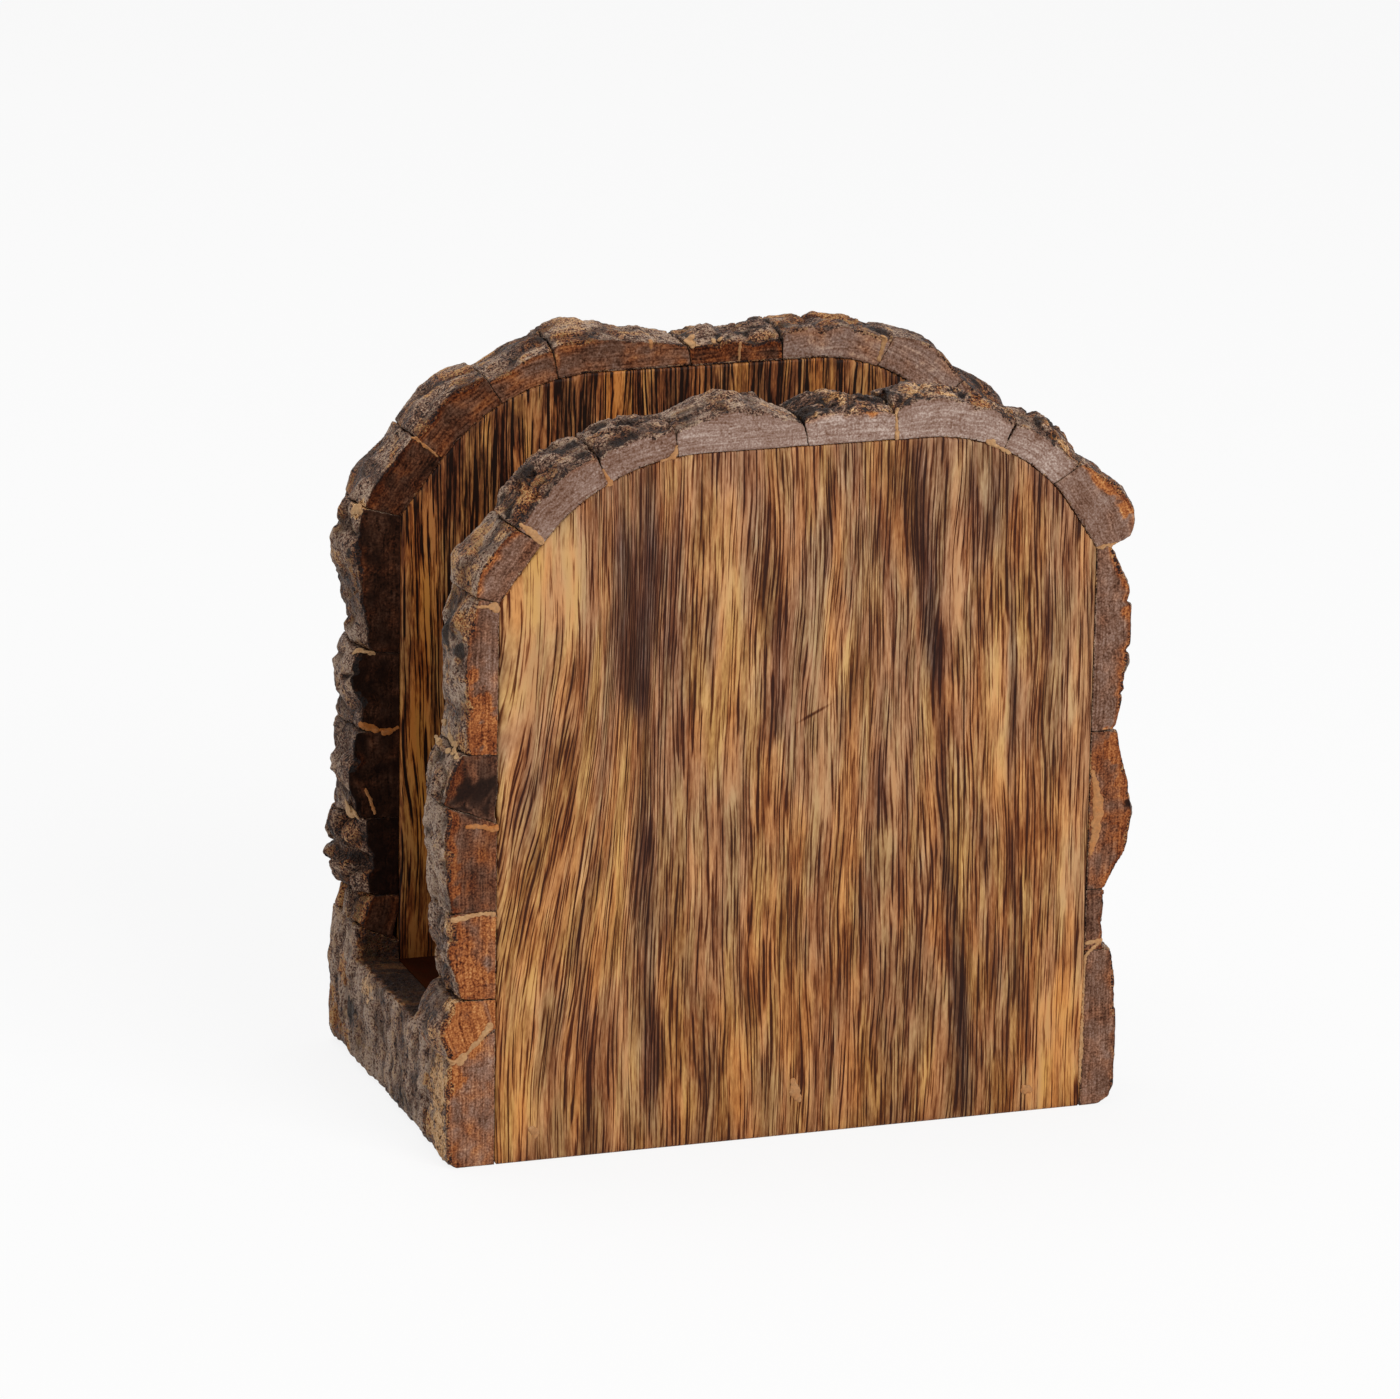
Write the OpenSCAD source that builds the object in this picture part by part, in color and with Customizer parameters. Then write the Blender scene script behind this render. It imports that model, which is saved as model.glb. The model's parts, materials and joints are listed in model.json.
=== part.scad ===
// Napkin holder: two round-shouldered wooden boards stand on a base block,
// and every edge is faced with short pieces of bark. All lengths are in millimetres.
// X runs along the boards, +Y is away from the viewer and +Z is up.
// The origin is the middle of the underside.

/* [Boards] */
// Width of each board, without its bark
board_w = 116; // [100:1:140]
// Height of each board, without its bark
board_h = 133; // [115:1:160]
// Thickness of each board
board_t = 15; // [11:0.5:20]
// Radius of the left shoulder of each board
left_shoulder_r = 38.5; // [30:0.5:45]
// Radius of the right shoulder of each board
right_shoulder_r = 33.5; // [26:0.5:42]
// Slope of the straight cut at the foot of the left shoulder, in degrees from upright
left_cut_a = 38; // [20:1:50]
// Slope of the straight cut at the foot of the right shoulder, in degrees from upright
right_cut_a = 34; // [20:1:50]

/* [Base] */
// Distance between the boards, where the napkins stand
slot_w = 47.5; // [42:0.5:70]
// Height of the base block
base_h = 20; // [15:0.5:23]

/* [Bark] */
// Thickness of bark that the share tables count as 1
bark_t = 10; // [6:0.5:13]
// Height of the bark's roughness
bark_rough = 0.7; // [0:0.1:1.2]
// Gap that the glue fills between the wood and the bark
glue_gap = 0.3; // [0.25:0.05:0.5]
// Width of joint that the share tables count as 1
joint_w = 0.5; // [0.3:0.1:0.8]
// Distance between the rings of points that shape a piece of bark
bark_step = 2.3; // [2:0.1:5]
// Depth that the joint filler is set in from the faces of the boards
filler_inset = 0.1; // [0.05:0.05:0.3]
// Clearance between the filler and the bark on each side of it
filler_gap = 0.04; // [0.02:0.01:0.06]

/* [Base bark] */
// Height of the left base bark's front end, where it meets the board
left_front_h = 27; // [25:0.5:31]
// Height of the left base bark's back end, where it meets the board
left_back_h = 24; // [23:0.5:28]
// Height of the right base bark's front end, where it meets the board
right_front_h = 31.5; // [27:0.5:35]
// Height of the right base bark's back end, where it meets the board
right_back_h = 27; // [24:0.5:31]
// Width of the step from the base bark's ends down to the base block
step_w = 0.6; // [0.3:0.1:1.5]

/* [Nails] */
// Diameter of a nail's shank
nail_d = 2; // [1.6:0.1:2.4]
// Length of a nail
nail_l = 32; // [26:0.5:36]
// Diameter of a nail's head
nail_head_d = 2.6; // [2.5:0.1:3.2]
// Thickness of a nail's head
nail_head_t = 1; // [0.6:0.1:1.4]
// Height above the underside that the nails' share tables count as 1
nail_z = 6.5; // [5:0.5:9]
// Depth of a nail's head below the face of its board
nail_set = 2.5; // [1.5:0.1:4]
// Clearance of a nail and of its filler in the wood
nail_gap = 0.05; // [0.03:0.01:0.1]

/* [Hidden] */
// The finest turn of a round shape
$fn = 96;
// Length by which a cut runs past the wood that it cuts
overrun = 1;
// Degrees in a radian
deg = 180 / PI;
depth = slot_w + 2 * board_t;
front_y = -depth / 2;
back_y = slot_w / 2;

// Each shoulder is an arc, with a straight cut between the arc and the side of the board
left_l = board_h - left_shoulder_r;
right_l = board_h - right_shoulder_r;
left_cut_l = left_shoulder_r * tan(left_cut_a / 2);
right_cut_l = right_shoulder_r * tan(right_cut_a / 2);
left_centre = [left_shoulder_r - board_w / 2, left_l];
right_centre = [board_w / 2 - right_shoulder_r, right_l];

// The stretches of a board's edge, from the lower left corner up, over the top and down to the
// lower right corner: the start, the length, and the way it faces at its start and at its end
stretches = [
    [[-board_w / 2, 0], left_l + left_cut_l, 180, 180],
    [[-board_w / 2, left_l + left_cut_l], left_cut_l, 180 - left_cut_a, 180 - left_cut_a],
    [left_centre + left_shoulder_r * facing(180 - left_cut_a),
        left_shoulder_r * (90 - left_cut_a) / deg, 180 - left_cut_a, 90],
    [[left_centre[0], board_h], right_centre[0] - left_centre[0], 90, 90],
    [[right_centre[0], board_h], right_shoulder_r * (90 - right_cut_a) / deg, 90, right_cut_a],
    [right_centre + right_shoulder_r * facing(right_cut_a), right_cut_l, right_cut_a, right_cut_a],
    [[board_w / 2, right_l + right_cut_l], right_l + right_cut_l, 0, 0]
];
// The distance along the edge at which each stretch starts, and at which the last one ends
starts = [for (i = 0, s = 0; i <= len(stretches); s = s + (i < len(stretches) ? stretches[i][1] : 0), i = i + 1) s];
last_stretch = len(stretches) - 1;

// Where the nails stand: places as shares of half the board's width, and heights as shares of nail_z
front_nail_shares = [[-0.87, 0.9], [0.01, 1.3], [0.81, 0.7]];
back_nail_shares = [[-0.8, 0.8], [0.08, 1.1], [0.88, 1]];

// Each joint between two pieces of bark: the stretch of the edge that it is on, its place as a share of
// that stretch between the base bark's ends, its width as a share of joint_w, and how far the end
// before it and the end after it lean along the edge, as shares of the distance from the board
front_joint_shares = [
    [0, 0, 1, -0.72, -0.72],
    [0, 0.065, 1, -0.1, 0.2],
    [0, 0.276, 2, 0, 0.03],
    [0, 0.483, 1.6, 0.4, 0.4],
    [0, 0.644, 0.9, 0.05, 0.1],
    [1, 0, 1.2, 0.12, -0.22],
    [2, 0, 3, -0.12, -0.1],
    [2, 0.466, 1.5, 0.05, 0.08],
    [2, 0.864, 1.3, 0, 0.02],
    [3, 0.462, 0.8, -0.36, -0.1],
    [3, 0.857, 0.7, -0.08, -0.06],
    [4, 0.453, 1.6, 0, 0.14],
    [4, 0.836, 0.5, 0.2, 0.22],
    [6, 0, 1, 0.36, 0.06],
    [6, 0.457, 0.8, -0.2, 0.25],
    [6, 0.853, 0.8, 0, 0.05],
    [6, 1, 2.4, 0, 0]
];
back_joint_shares = [
    [0, 0, 1, 0.45, 0.45],
    [0, 0.107, 0.9, 0, 0.1],
    [0, 0.2925, 1, -0.05, 0.1],
    [0, 0.501, 2.8, 0, 0],
    [0, 0.68, 0.9, 0.1, 0.15],
    [1, 0, 0.9, 0.2, -0.3],
    [2, 0, 1.6, 0.02, 0.04],
    [2, 0.446, 0.8, -0.1, -0.05],
    [2, 0.783, 0.6, 0, 0],
    [3, 0.432, 1.4, -0.3, -0.12],
    [3, 0.845, 0.7, 0, 0],
    [4, 0.391, 2, 0.15, 0.15],
    [4, 0.848, 0.9, 0, 0.1],
    [6, 0, 1, 0.2, -0.1],
    [6, 0.48, 1, -0.1, 0.1],
    [6, 0.795, 1.2, 0, 0.1],
    [6, 1, 1, 0, 0]
];

// How thick each piece of bark is at five places along it, as shares of bark_t:
// at its front face, then at its crown, which lies behind the middle of the board
front_rim_shares = [
    [0.65, 1.08, 1.12, 1.05, 0.92],
    [0.69, 0.8, 0.97, 0.78, 0.84],
    [0.9, 0.95, 0.98, 1, 1.02],
    [1.02, 1.02, 0.97, 0.87, 0.73],
    [0.6, 0.57, 0.61, 0.57, 0.42],
    [0.5, 0.64, 0.68, 0.67, 0.64],
    [0.61, 0.54, 0.62, 0.67, 0.59],
    [0.52, 0.58, 0.6, 0.6, 0.54],
    [0.49, 0.68, 0.83, 0.72, 0.36],
    [0.66, 0.61, 0.58, 0.56, 0.52],
    [0.76, 0.75, 0.71, 0.65, 0.58],
    [0.58, 0.55, 0.5, 0.61, 0.6],
    [0.62, 0.93, 0.96, 0.94, 0.7],
    [0.34, 0.71, 0.74, 0.69, 0.53],
    [0.54, 0.76, 0.87, 0.78, 0.42],
    [0.38, 0.39, 0.32, 0.33, 0.43]
];
front_crown_shares = [
    [0.95, 1.2, 1.32, 1.25, 1],
    [0.8, 0.84, 0.98, 0.98, 0.97],
    [1, 1.05, 1.09, 1.1, 1.08],
    [1.08, 1.08, 1.06, 1, 0.97],
    [0.72, 0.76, 0.86, 0.83, 0.7],
    [0.75, 0.94, 0.9, 0.8, 0.7],
    [0.83, 0.97, 0.98, 0.9, 0.8],
    [0.75, 0.75, 0.73, 0.72, 0.56],
    [0.56, 0.82, 0.95, 0.85, 0.42],
    [0.69, 0.76, 0.8, 0.7, 0.6],
    [0.82, 0.8, 0.76, 0.75, 0.72],
    [0.7, 0.84, 0.94, 0.88, 0.82],
    [0.8, 1, 0.98, 0.95, 0.75],
    [0.45, 0.82, 0.86, 0.8, 0.6],
    [0.62, 0.86, 0.98, 0.88, 0.5],
    [0.5, 0.55, 0.46, 0.5, 0.52]
];
back_rim_shares = [
    [0.5, 0.55, 0.6, 0.56, 0.52],
    [0.52, 0.57, 0.6, 0.62, 0.62],
    [0.94, 0.97, 0.97, 0.96, 0.9],
    [0.72, 0.73, 0.88, 0.97, 0.87],
    [0.5, 0.77, 0.82, 0.9, 0.74],
    [0.72, 0.84, 0.84, 0.8, 0.76],
    [0.71, 0.72, 0.76, 0.8, 0.76],
    [0.55, 0.52, 0.55, 0.58, 0.6],
    [0.64, 0.67, 0.62, 0.53, 0.42],
    [0.42, 0.42, 0.41, 0.43, 0.46],
    [0.58, 0.61, 0.6, 0.6, 0.66],
    [0.72, 0.85, 0.86, 0.8, 0.72],
    [0.74, 0.82, 0.95, 1, 0.84],
    [0.5, 0.7, 0.8, 0.74, 0.6],
    [0.6, 0.8, 0.7, 0.84, 0.6],
    [0.5, 0.65, 0.7, 0.6, 0.5]
];
back_crown_shares = [
    [0.84, 0.94, 0.96, 0.9, 0.82],
    [1.04, 1.24, 1.16, 1.3, 1.04],
    [0.98, 1.06, 1.08, 1.04, 0.94],
    [1.04, 1.08, 0.98, 1, 0.97],
    [0.72, 0.92, 1.08, 1.13, 0.9],
    [0.85, 0.95, 0.9, 0.85, 0.83],
    [0.9, 0.9, 0.86, 0.82, 0.8],
    [0.58, 0.6, 0.62, 0.68, 0.76],
    [0.88, 0.86, 0.74, 0.62, 0.42],
    [0.5, 0.58, 0.56, 0.6, 0.64],
    [0.66, 0.62, 0.64, 0.66, 0.76],
    [0.8, 0.88, 0.88, 0.84, 0.78],
    [0.9, 1.15, 1.28, 1.22, 0.95],
    [0.65, 0.9, 0.95, 0.9, 0.7],
    [0.7, 0.95, 0.9, 1, 0.7],
    [0.6, 0.8, 0.85, 0.8, 0.65]
];

// The joints that hold pale filler, counted from 0 at the left base bark,
// each with the filler's height as a share of bark_t
front_filled_shares = [[2, 0.7], [3, 0.62], [5, 0.42], [6, 0.46], [7, 0.5], [8, 0.48], [13, 0.3], [16, 0.36]];
back_filled_shares = [[3, 0.7], [6, 0.7], [9, 0.36], [11, 0.58]];

// How the bark swells from its front face over its crown to its back face: the places are
// shares of the board's thickness, and the turn that the last one reaches is in degrees
crown_place_shares = [0, 0.1, 0.24, 0.4, 0.56, 0.72, 0.87, 1];
crown_turn = 150;
rear_drop_share = 0.12;

// The base bark's section: heights as shares of its own height, and thicknesses as shares of its bark's
strip_height_shares = [0, 0.035, 0.11, 0.27, 0.45, 0.63, 0.82, 1];
left_section_shares = [0.78, 0.94, 1, 1.02, 1, 1.02, 0.99, 0.95];
right_section_shares = [0.5, 0.85, 0.98, 1, 1, 0.98, 0.96, 0.8];
// Thickness of the base bark at five places from front to back, as shares of bark_t
left_strip_shares = [0.96, 0.9, 0.88, 0.92, 0.95];
right_strip_shares = [0.7, 0.72, 0.8, 0.76, 0.7];
// How much more the base bark's top stands at its outer edge, as a share of bark_t
strip_lip_share = 0.1;

// Bark and wood colours
bark_colour = [0.33, 0.26, 0.22];
cut_bark_colour = [0.42, 0.28, 0.19];
board_colour = [0.66, 0.46, 0.27];
base_colour = [0.4, 0.25, 0.14];
filler_colour = [0.8, 0.62, 0.38];
nail_colour = [0.6, 0.6, 0.62];

// The direction at an angle in degrees
function facing(a) = [cos(a), sin(a)];

// A value between the entries of a list, for t from 0 to 1
function along(list, t) =
    let (n = len(list) - 1, i = min(floor(t * n), n - 1), f = t * n - i)
    list[i] * (1 - f) + list[i + 1] * f;

// A number from -1 to 1 that is the same each time for the same seed
function grit(seed) = rands(-1, 1, 1, seed)[0];

// The point at a distance s along the board's edge, and the direction that faces outwards there
function edge_at(s) =
    let (
        i = max([for (k = [0 : last_stretch]) if (k == 0 || starts[k] <= s) k]),
        stretch = stretches[i],
        d = s - starts[i],
        turn = stretch[2] - stretch[3],
        a = stretch[2] - turn * d / stretch[1],
        r = turn == 0 ? 0 : stretch[1] * deg / turn
    )
    turn == 0 ? [stretch[0] + d * [sin(a), -cos(a)], facing(a)] :
    [stretch[0] - r * facing(stretch[2]) + r * facing(a), facing(a)];

// A point out from the board's edge by r, and shifted along the edge
function off_edge(s, r, shift) =
    let (e = edge_at(s)) e[0] + r * e[1] + shift * [e[1][1], -e[1][0]];

// The distance of a joint along the edge, between the base bark's ends
function joint_s(joint, start_h, end_h) =
    let (
        from = joint[0] == 0 ? start_h : starts[joint[0]],
        to = joint[0] == last_stretch ? starts[last_stretch + 1] - end_h : starts[joint[0] + 1]
    )
    from + joint[1] * (to - from);

// Half of a joint's width
function half_w(joint) = joint[2] * joint_w / 2;

// Height of the base bark's end at a distance r from the board
function strip_h(joint, inner_h, side, r) = inner_h - half_w(joint) + (side < 0 ? joint[3] : -joint[4]) * r;

// A solid through rings of points that all have the same number of points. The last
// two points of each ring lie on the flat side, and the ends are flat.
module ring_solid(rings) {
    n = len(rings);
    m = len(rings[0]);
    points = [for (ring = rings) for (p = ring) p];
    sides = [
        for (i = [0 : n - 2]) for (k = [0 : m - 1])
            let (a = i * m + k, b = i * m + (k + 1) % m, c = a + m, d = b + m)
            each [[a, b, c], [b, d, c]]
    ];
    first = [for (k = [m - 1 : -1 : 0]) k];
    last = [for (k = [0 : m - 1]) (n - 1) * m + k];
    polyhedron(points = points, faces = concat([first], sides, [last]), convexity = 6);
}

// One piece of bark on a board's edge, between joint i and joint i + 1.
// face_y is the front face of its board.
module bark_piece(i, joints, rims, crowns, start_h, end_h, face_y, seed) {
    a = joints[i];
    b = joints[i + 1];
    s_a = joint_s(a, start_h, end_h) + half_w(a);
    s_b = joint_s(b, start_h, end_h) - half_w(b);
    steps = max(3, round((s_b - s_a) / bark_step));
    rings = [
        for (j = [0 : steps])
            let (
                t = j / steps,
                s = s_a + t * (s_b - s_a),
                lean = a[4] + t * (b[3] - a[4]),
                rim = along(rims[i], t) * bark_t,
                crown = along(crowns[i], t) * bark_t,
                radii = [
                    for (k = [0 : len(crown_place_shares) - 1])
                        let (
                            d = crown_place_shares[k],
                            swell = sin(d * crown_turn),
                            rough = sin(d * 180) * grit(seed + i * 1000 + j * 20 + k) * bark_rough
                        )
                        rim + (crown - rim) * swell + rough - rear_drop_share * bark_t * d * d
                ]
            )
            concat(
                [
                    for (k = [0 : len(radii) - 1])
                        let (p = off_edge(s, radii[k], lean * radii[k]))
                        [p[0], face_y + crown_place_shares[k] * board_t, p[1]]
                ],
                [
                    for (y = [face_y + board_t, face_y])
                        let (p = off_edge(s, glue_gap, lean * glue_gap)) [p[0], y, p[1]]
                ]
            )
    ];
    color(bark_colour) ring_solid(rings);
}

module front_piece(i) {
    bark_piece(i, front_joint_shares, front_rim_shares, front_crown_shares,
        left_front_h, right_front_h, front_y, 7);
}

module back_piece(i) {
    bark_piece(i, back_joint_shares, back_rim_shares, back_crown_shares,
        left_back_h, right_back_h, back_y, 40007);
}

// The bark that faces one end of the base block and the lower ends of both boards.
// side is -1 for the left and 1 for the right, and the joints are those above its ends.
module base_strip(side, thickness, section, front_h, front_joint, back_h, back_joint, seed) {
    near_y = front_y + board_t;
    inner_steps = round(slot_w / bark_step / 2);
    board_steps = round(board_t / bark_step / 2);
    places = concat(
        [for (j = [0 : board_steps]) front_y + j / board_steps * board_t],
        [for (j = [0 : inner_steps]) near_y + step_w + j / inner_steps * (slot_w - 2 * step_w)],
        [for (j = [0 : board_steps]) back_y + j / board_steps * board_t]
    );
    last = len(places) - 1;
    top_k = len(strip_height_shares) - 1;
    inner_x = side * (board_w / 2 + glue_gap);
    rings = [
        for (j = [0 : last])
            let (
                y = places[j],
                thick = along(thickness, (y - front_y) / depth) * bark_t,
                edge = thick * section[top_k],
                tops = [
                    for (r = [glue_gap, edge])
                        y <= near_y ? strip_h(front_joint, front_h, side, r) :
                        y >= back_y ? strip_h(back_joint, back_h, side, r) :
                        base_h + (r == edge ? strip_lip_share * bark_t : 0)
                ],
                ends = j == 0 || j == last ? 0 : 1
            )
            concat(
                [
                    for (k = [0 : top_k])
                        let (
                            h = strip_height_shares[k],
                            rough = k == top_k ? 0 : ends * sin(h * 180) * grit(seed + j * 20 + k) * bark_rough
                        )
                        [side * (board_w / 2 + thick * section[k] + rough), y, h * tops[1]]
                ],
                [[inner_x, y, tops[0]], [inner_x, y, 0]]
            )
    ];
    flipped = [for (j = [last : -1 : 0]) rings[j]];
    color(cut_bark_colour) ring_solid(side < 0 ? flipped : rings);
}

module left_base_bark() {
    base_strip(-1, left_strip_shares, left_section_shares, left_front_h, front_joint_shares[0],
        left_back_h, back_joint_shares[0], 80007);
}

module right_base_bark() {
    last = len(front_joint_shares) - 1;
    base_strip(1, right_strip_shares, right_section_shares, right_front_h, front_joint_shares[last],
        right_back_h, back_joint_shares[last], 90007);
}

// The outline of a board, standing on the X axis
module board_outline() {
    polygon(concat([for (stretch = stretches) stretch[0]], [[board_w / 2, 0]]));
    translate(left_centre) circle(r = left_shoulder_r);
    translate(right_centre) circle(r = right_shoulder_r);
}

// Places its children at each nail of one board, along the nail. face_y is the board's outer
// face, and inward is 1 where the nails run towards +Y and -1 where they run towards -Y.
module at_nails(shares, face_y, inward) {
    for (share = shares)
        translate([share[0] * board_w / 2, face_y, share[1] * nail_z])
            rotate([-inward * 90, 0, 0]) children();
}

// The hole that one nail and its filler fill
module nail_hole() {
    translate([0, 0, -overrun])
        cylinder(d = nail_head_d + 2 * nail_gap, h = overrun + nail_set + nail_head_t + nail_gap);
    cylinder(d = nail_d + 2 * nail_gap, h = nail_set + nail_l + nail_gap);
}

module nail() {
    translate([0, 0, nail_set]) {
        cylinder(d = nail_head_d, h = nail_head_t);
        cylinder(d = nail_d, h = nail_l);
    }
}

// The wood filler over a nail
module plug() {
    cylinder(d = nail_head_d, h = nail_set - nail_gap);
}

module front_board() {
    color(board_colour) difference() {
        translate([0, front_y + board_t, 0]) rotate([90, 0, 0])
            linear_extrude(height = board_t) board_outline();
        at_nails(front_nail_shares, front_y, 1) nail_hole();
    }
}

module back_board() {
    color(board_colour) difference() {
        translate([0, back_y + board_t, 0]) rotate([90, 0, 0])
            linear_extrude(height = board_t) board_outline();
        at_nails(back_nail_shares, back_y + board_t, -1) nail_hole();
    }
}

module base_block() {
    color(base_colour) difference() {
        translate([-board_w / 2, -slot_w / 2, 0]) cube([board_w, slot_w, base_h]);
        at_nails(front_nail_shares, front_y, 1) nail_hole();
        at_nails(back_nail_shares, back_y + board_t, -1) nail_hole();
    }
}

module front_nails() {
    color(nail_colour) at_nails(front_nail_shares, front_y, 1) nail();
}

module back_nails() {
    color(nail_colour) at_nails(back_nail_shares, back_y + board_t, -1) nail();
}

module front_nail_filler() {
    color(filler_colour) at_nails(front_nail_shares, front_y, 1) plug();
}

module back_nail_filler() {
    color(filler_colour) at_nails(back_nail_shares, back_y + board_t, -1) plug();
}

// The pale filler in the joints between pieces of bark
module joint_filler(filled, joints, start_h, end_h, face_y) {
    color(filler_colour) for (fill = filled)
        let (
            joint = joints[fill[0]],
            s = joint_s(joint, start_h, end_h),
            half = half_w(joint) - filler_gap,
            top = fill[1] * bark_t
        )
        translate([0, face_y + board_t - filler_inset, 0]) rotate([90, 0, 0])
            linear_extrude(height = board_t - 2 * filler_inset) polygon([
                off_edge(s - half, glue_gap, joint[3] * glue_gap),
                off_edge(s - half, top, joint[3] * top),
                off_edge(s + half, top, joint[4] * top),
                off_edge(s + half, glue_gap, joint[4] * glue_gap)
            ]);
}

module front_joint_filler() {
    joint_filler(front_filled_shares, front_joint_shares, left_front_h, right_front_h, front_y);
}

module back_joint_filler() {
    joint_filler(back_filled_shares, back_joint_shares, left_back_h, right_back_h, back_y);
}

front_board();
back_board();
base_block();
left_base_bark();
right_base_bark();
front_piece(0);  // front_bark_left_1
front_piece(1);  // front_bark_left_2
front_piece(2);  // front_bark_left_3
front_piece(3);  // front_bark_left_4
front_piece(4);  // front_bark_left_5
front_piece(5);  // front_bark_top_1
front_piece(6);  // front_bark_top_2
front_piece(7);  // front_bark_top_3
front_piece(8);  // front_bark_top_4
front_piece(9);  // front_bark_top_5
front_piece(10);  // front_bark_top_6
front_piece(11);  // front_bark_top_7
front_piece(12);  // front_bark_top_8
front_piece(13);  // front_bark_right_1
front_piece(14);  // front_bark_right_2
front_piece(15);  // front_bark_right_3
back_piece(0);  // back_bark_left_1
back_piece(1);  // back_bark_left_2
back_piece(2);  // back_bark_left_3
back_piece(3);  // back_bark_left_4
back_piece(4);  // back_bark_left_5
back_piece(5);  // back_bark_top_1
back_piece(6);  // back_bark_top_2
back_piece(7);  // back_bark_top_3
back_piece(8);  // back_bark_top_4
back_piece(9);  // back_bark_top_5
back_piece(10);  // back_bark_top_6
back_piece(11);  // back_bark_top_7
back_piece(12);  // back_bark_top_8
back_piece(13);  // back_bark_right_1
back_piece(14);  // back_bark_right_2
back_piece(15);  // back_bark_right_3
front_joint_filler();
back_joint_filler();
front_nails();
back_nails();
front_nail_filler();
back_nail_filler();
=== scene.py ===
"""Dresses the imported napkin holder: oiled boards with dark streaks, edged with chips of rough bark."""

import json
import math

import bpy
import numpy as np
from mathutils import Matrix, Vector
from mathutils.bvhtree import BVHTree

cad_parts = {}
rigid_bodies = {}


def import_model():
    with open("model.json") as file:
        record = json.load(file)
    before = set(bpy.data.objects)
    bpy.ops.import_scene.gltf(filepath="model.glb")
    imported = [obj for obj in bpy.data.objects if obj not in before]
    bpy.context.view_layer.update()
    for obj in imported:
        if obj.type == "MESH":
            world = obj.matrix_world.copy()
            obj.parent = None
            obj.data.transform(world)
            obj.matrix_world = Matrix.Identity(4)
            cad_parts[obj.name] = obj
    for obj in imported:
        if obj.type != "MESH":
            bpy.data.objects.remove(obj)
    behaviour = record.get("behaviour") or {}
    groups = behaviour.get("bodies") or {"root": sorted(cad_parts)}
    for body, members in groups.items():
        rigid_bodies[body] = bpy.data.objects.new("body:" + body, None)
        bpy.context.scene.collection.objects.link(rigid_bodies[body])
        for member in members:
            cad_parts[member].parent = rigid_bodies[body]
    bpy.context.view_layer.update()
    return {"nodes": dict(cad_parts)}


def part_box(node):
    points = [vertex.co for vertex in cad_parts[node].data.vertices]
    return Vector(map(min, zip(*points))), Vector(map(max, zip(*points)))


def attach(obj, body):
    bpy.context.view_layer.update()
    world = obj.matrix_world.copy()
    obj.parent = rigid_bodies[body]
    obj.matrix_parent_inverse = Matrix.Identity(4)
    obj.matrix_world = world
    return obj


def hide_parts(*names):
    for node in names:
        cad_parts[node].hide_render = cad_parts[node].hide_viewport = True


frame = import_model()

bl_info = {
    "name": "Bark-edged napkin holder",
    "version": (1, 0, 0),
    "blender": (4, 5, 0),
    "location": "3D View > Sidebar > Holder",
    "description": "Finishes the boards, bark, filler and nails of a napkin holder",
    "category": "Object",
}

MM = 0.001
WAVE = 0.3142                                  # one band of a wave texture, in its own units
FRONT_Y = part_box("front_board")[0].y / MM      # front face of the front board
BACK_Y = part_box("back_board")[0].y / MM        # slot side of the back board
GLUE_LINE = 0.3                                # room between a chip and its board in the CAD, in mm
JOINT_REACH = 6.0                              # how far from a joint a chip closes up to it, in mm
CLOSE_UP = 0.92                                # the share of a joint that the chips close between them
CHIP_STEP = 0.08                               # how much deeper every second chip lies, in mm
SOFTENING = 14                                 # rounds of smoothing that take the facets off a chip
BOARD_GRAIN = 0.0008                           # mesh size of the boards, in m
PUTTY_GRAIN = 0.00011                          # mesh size of the putty, in m


def linear(code):
    """The linear colour of an sRGB hex value."""
    parts = [int(code[i:i + 2], 16) / 255 for i in (1, 3, 5)]
    return [p / 12.92 if p <= 0.04045 else ((p + 0.055) / 1.055) ** 2.4 for p in parts] + [1.0]


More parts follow.
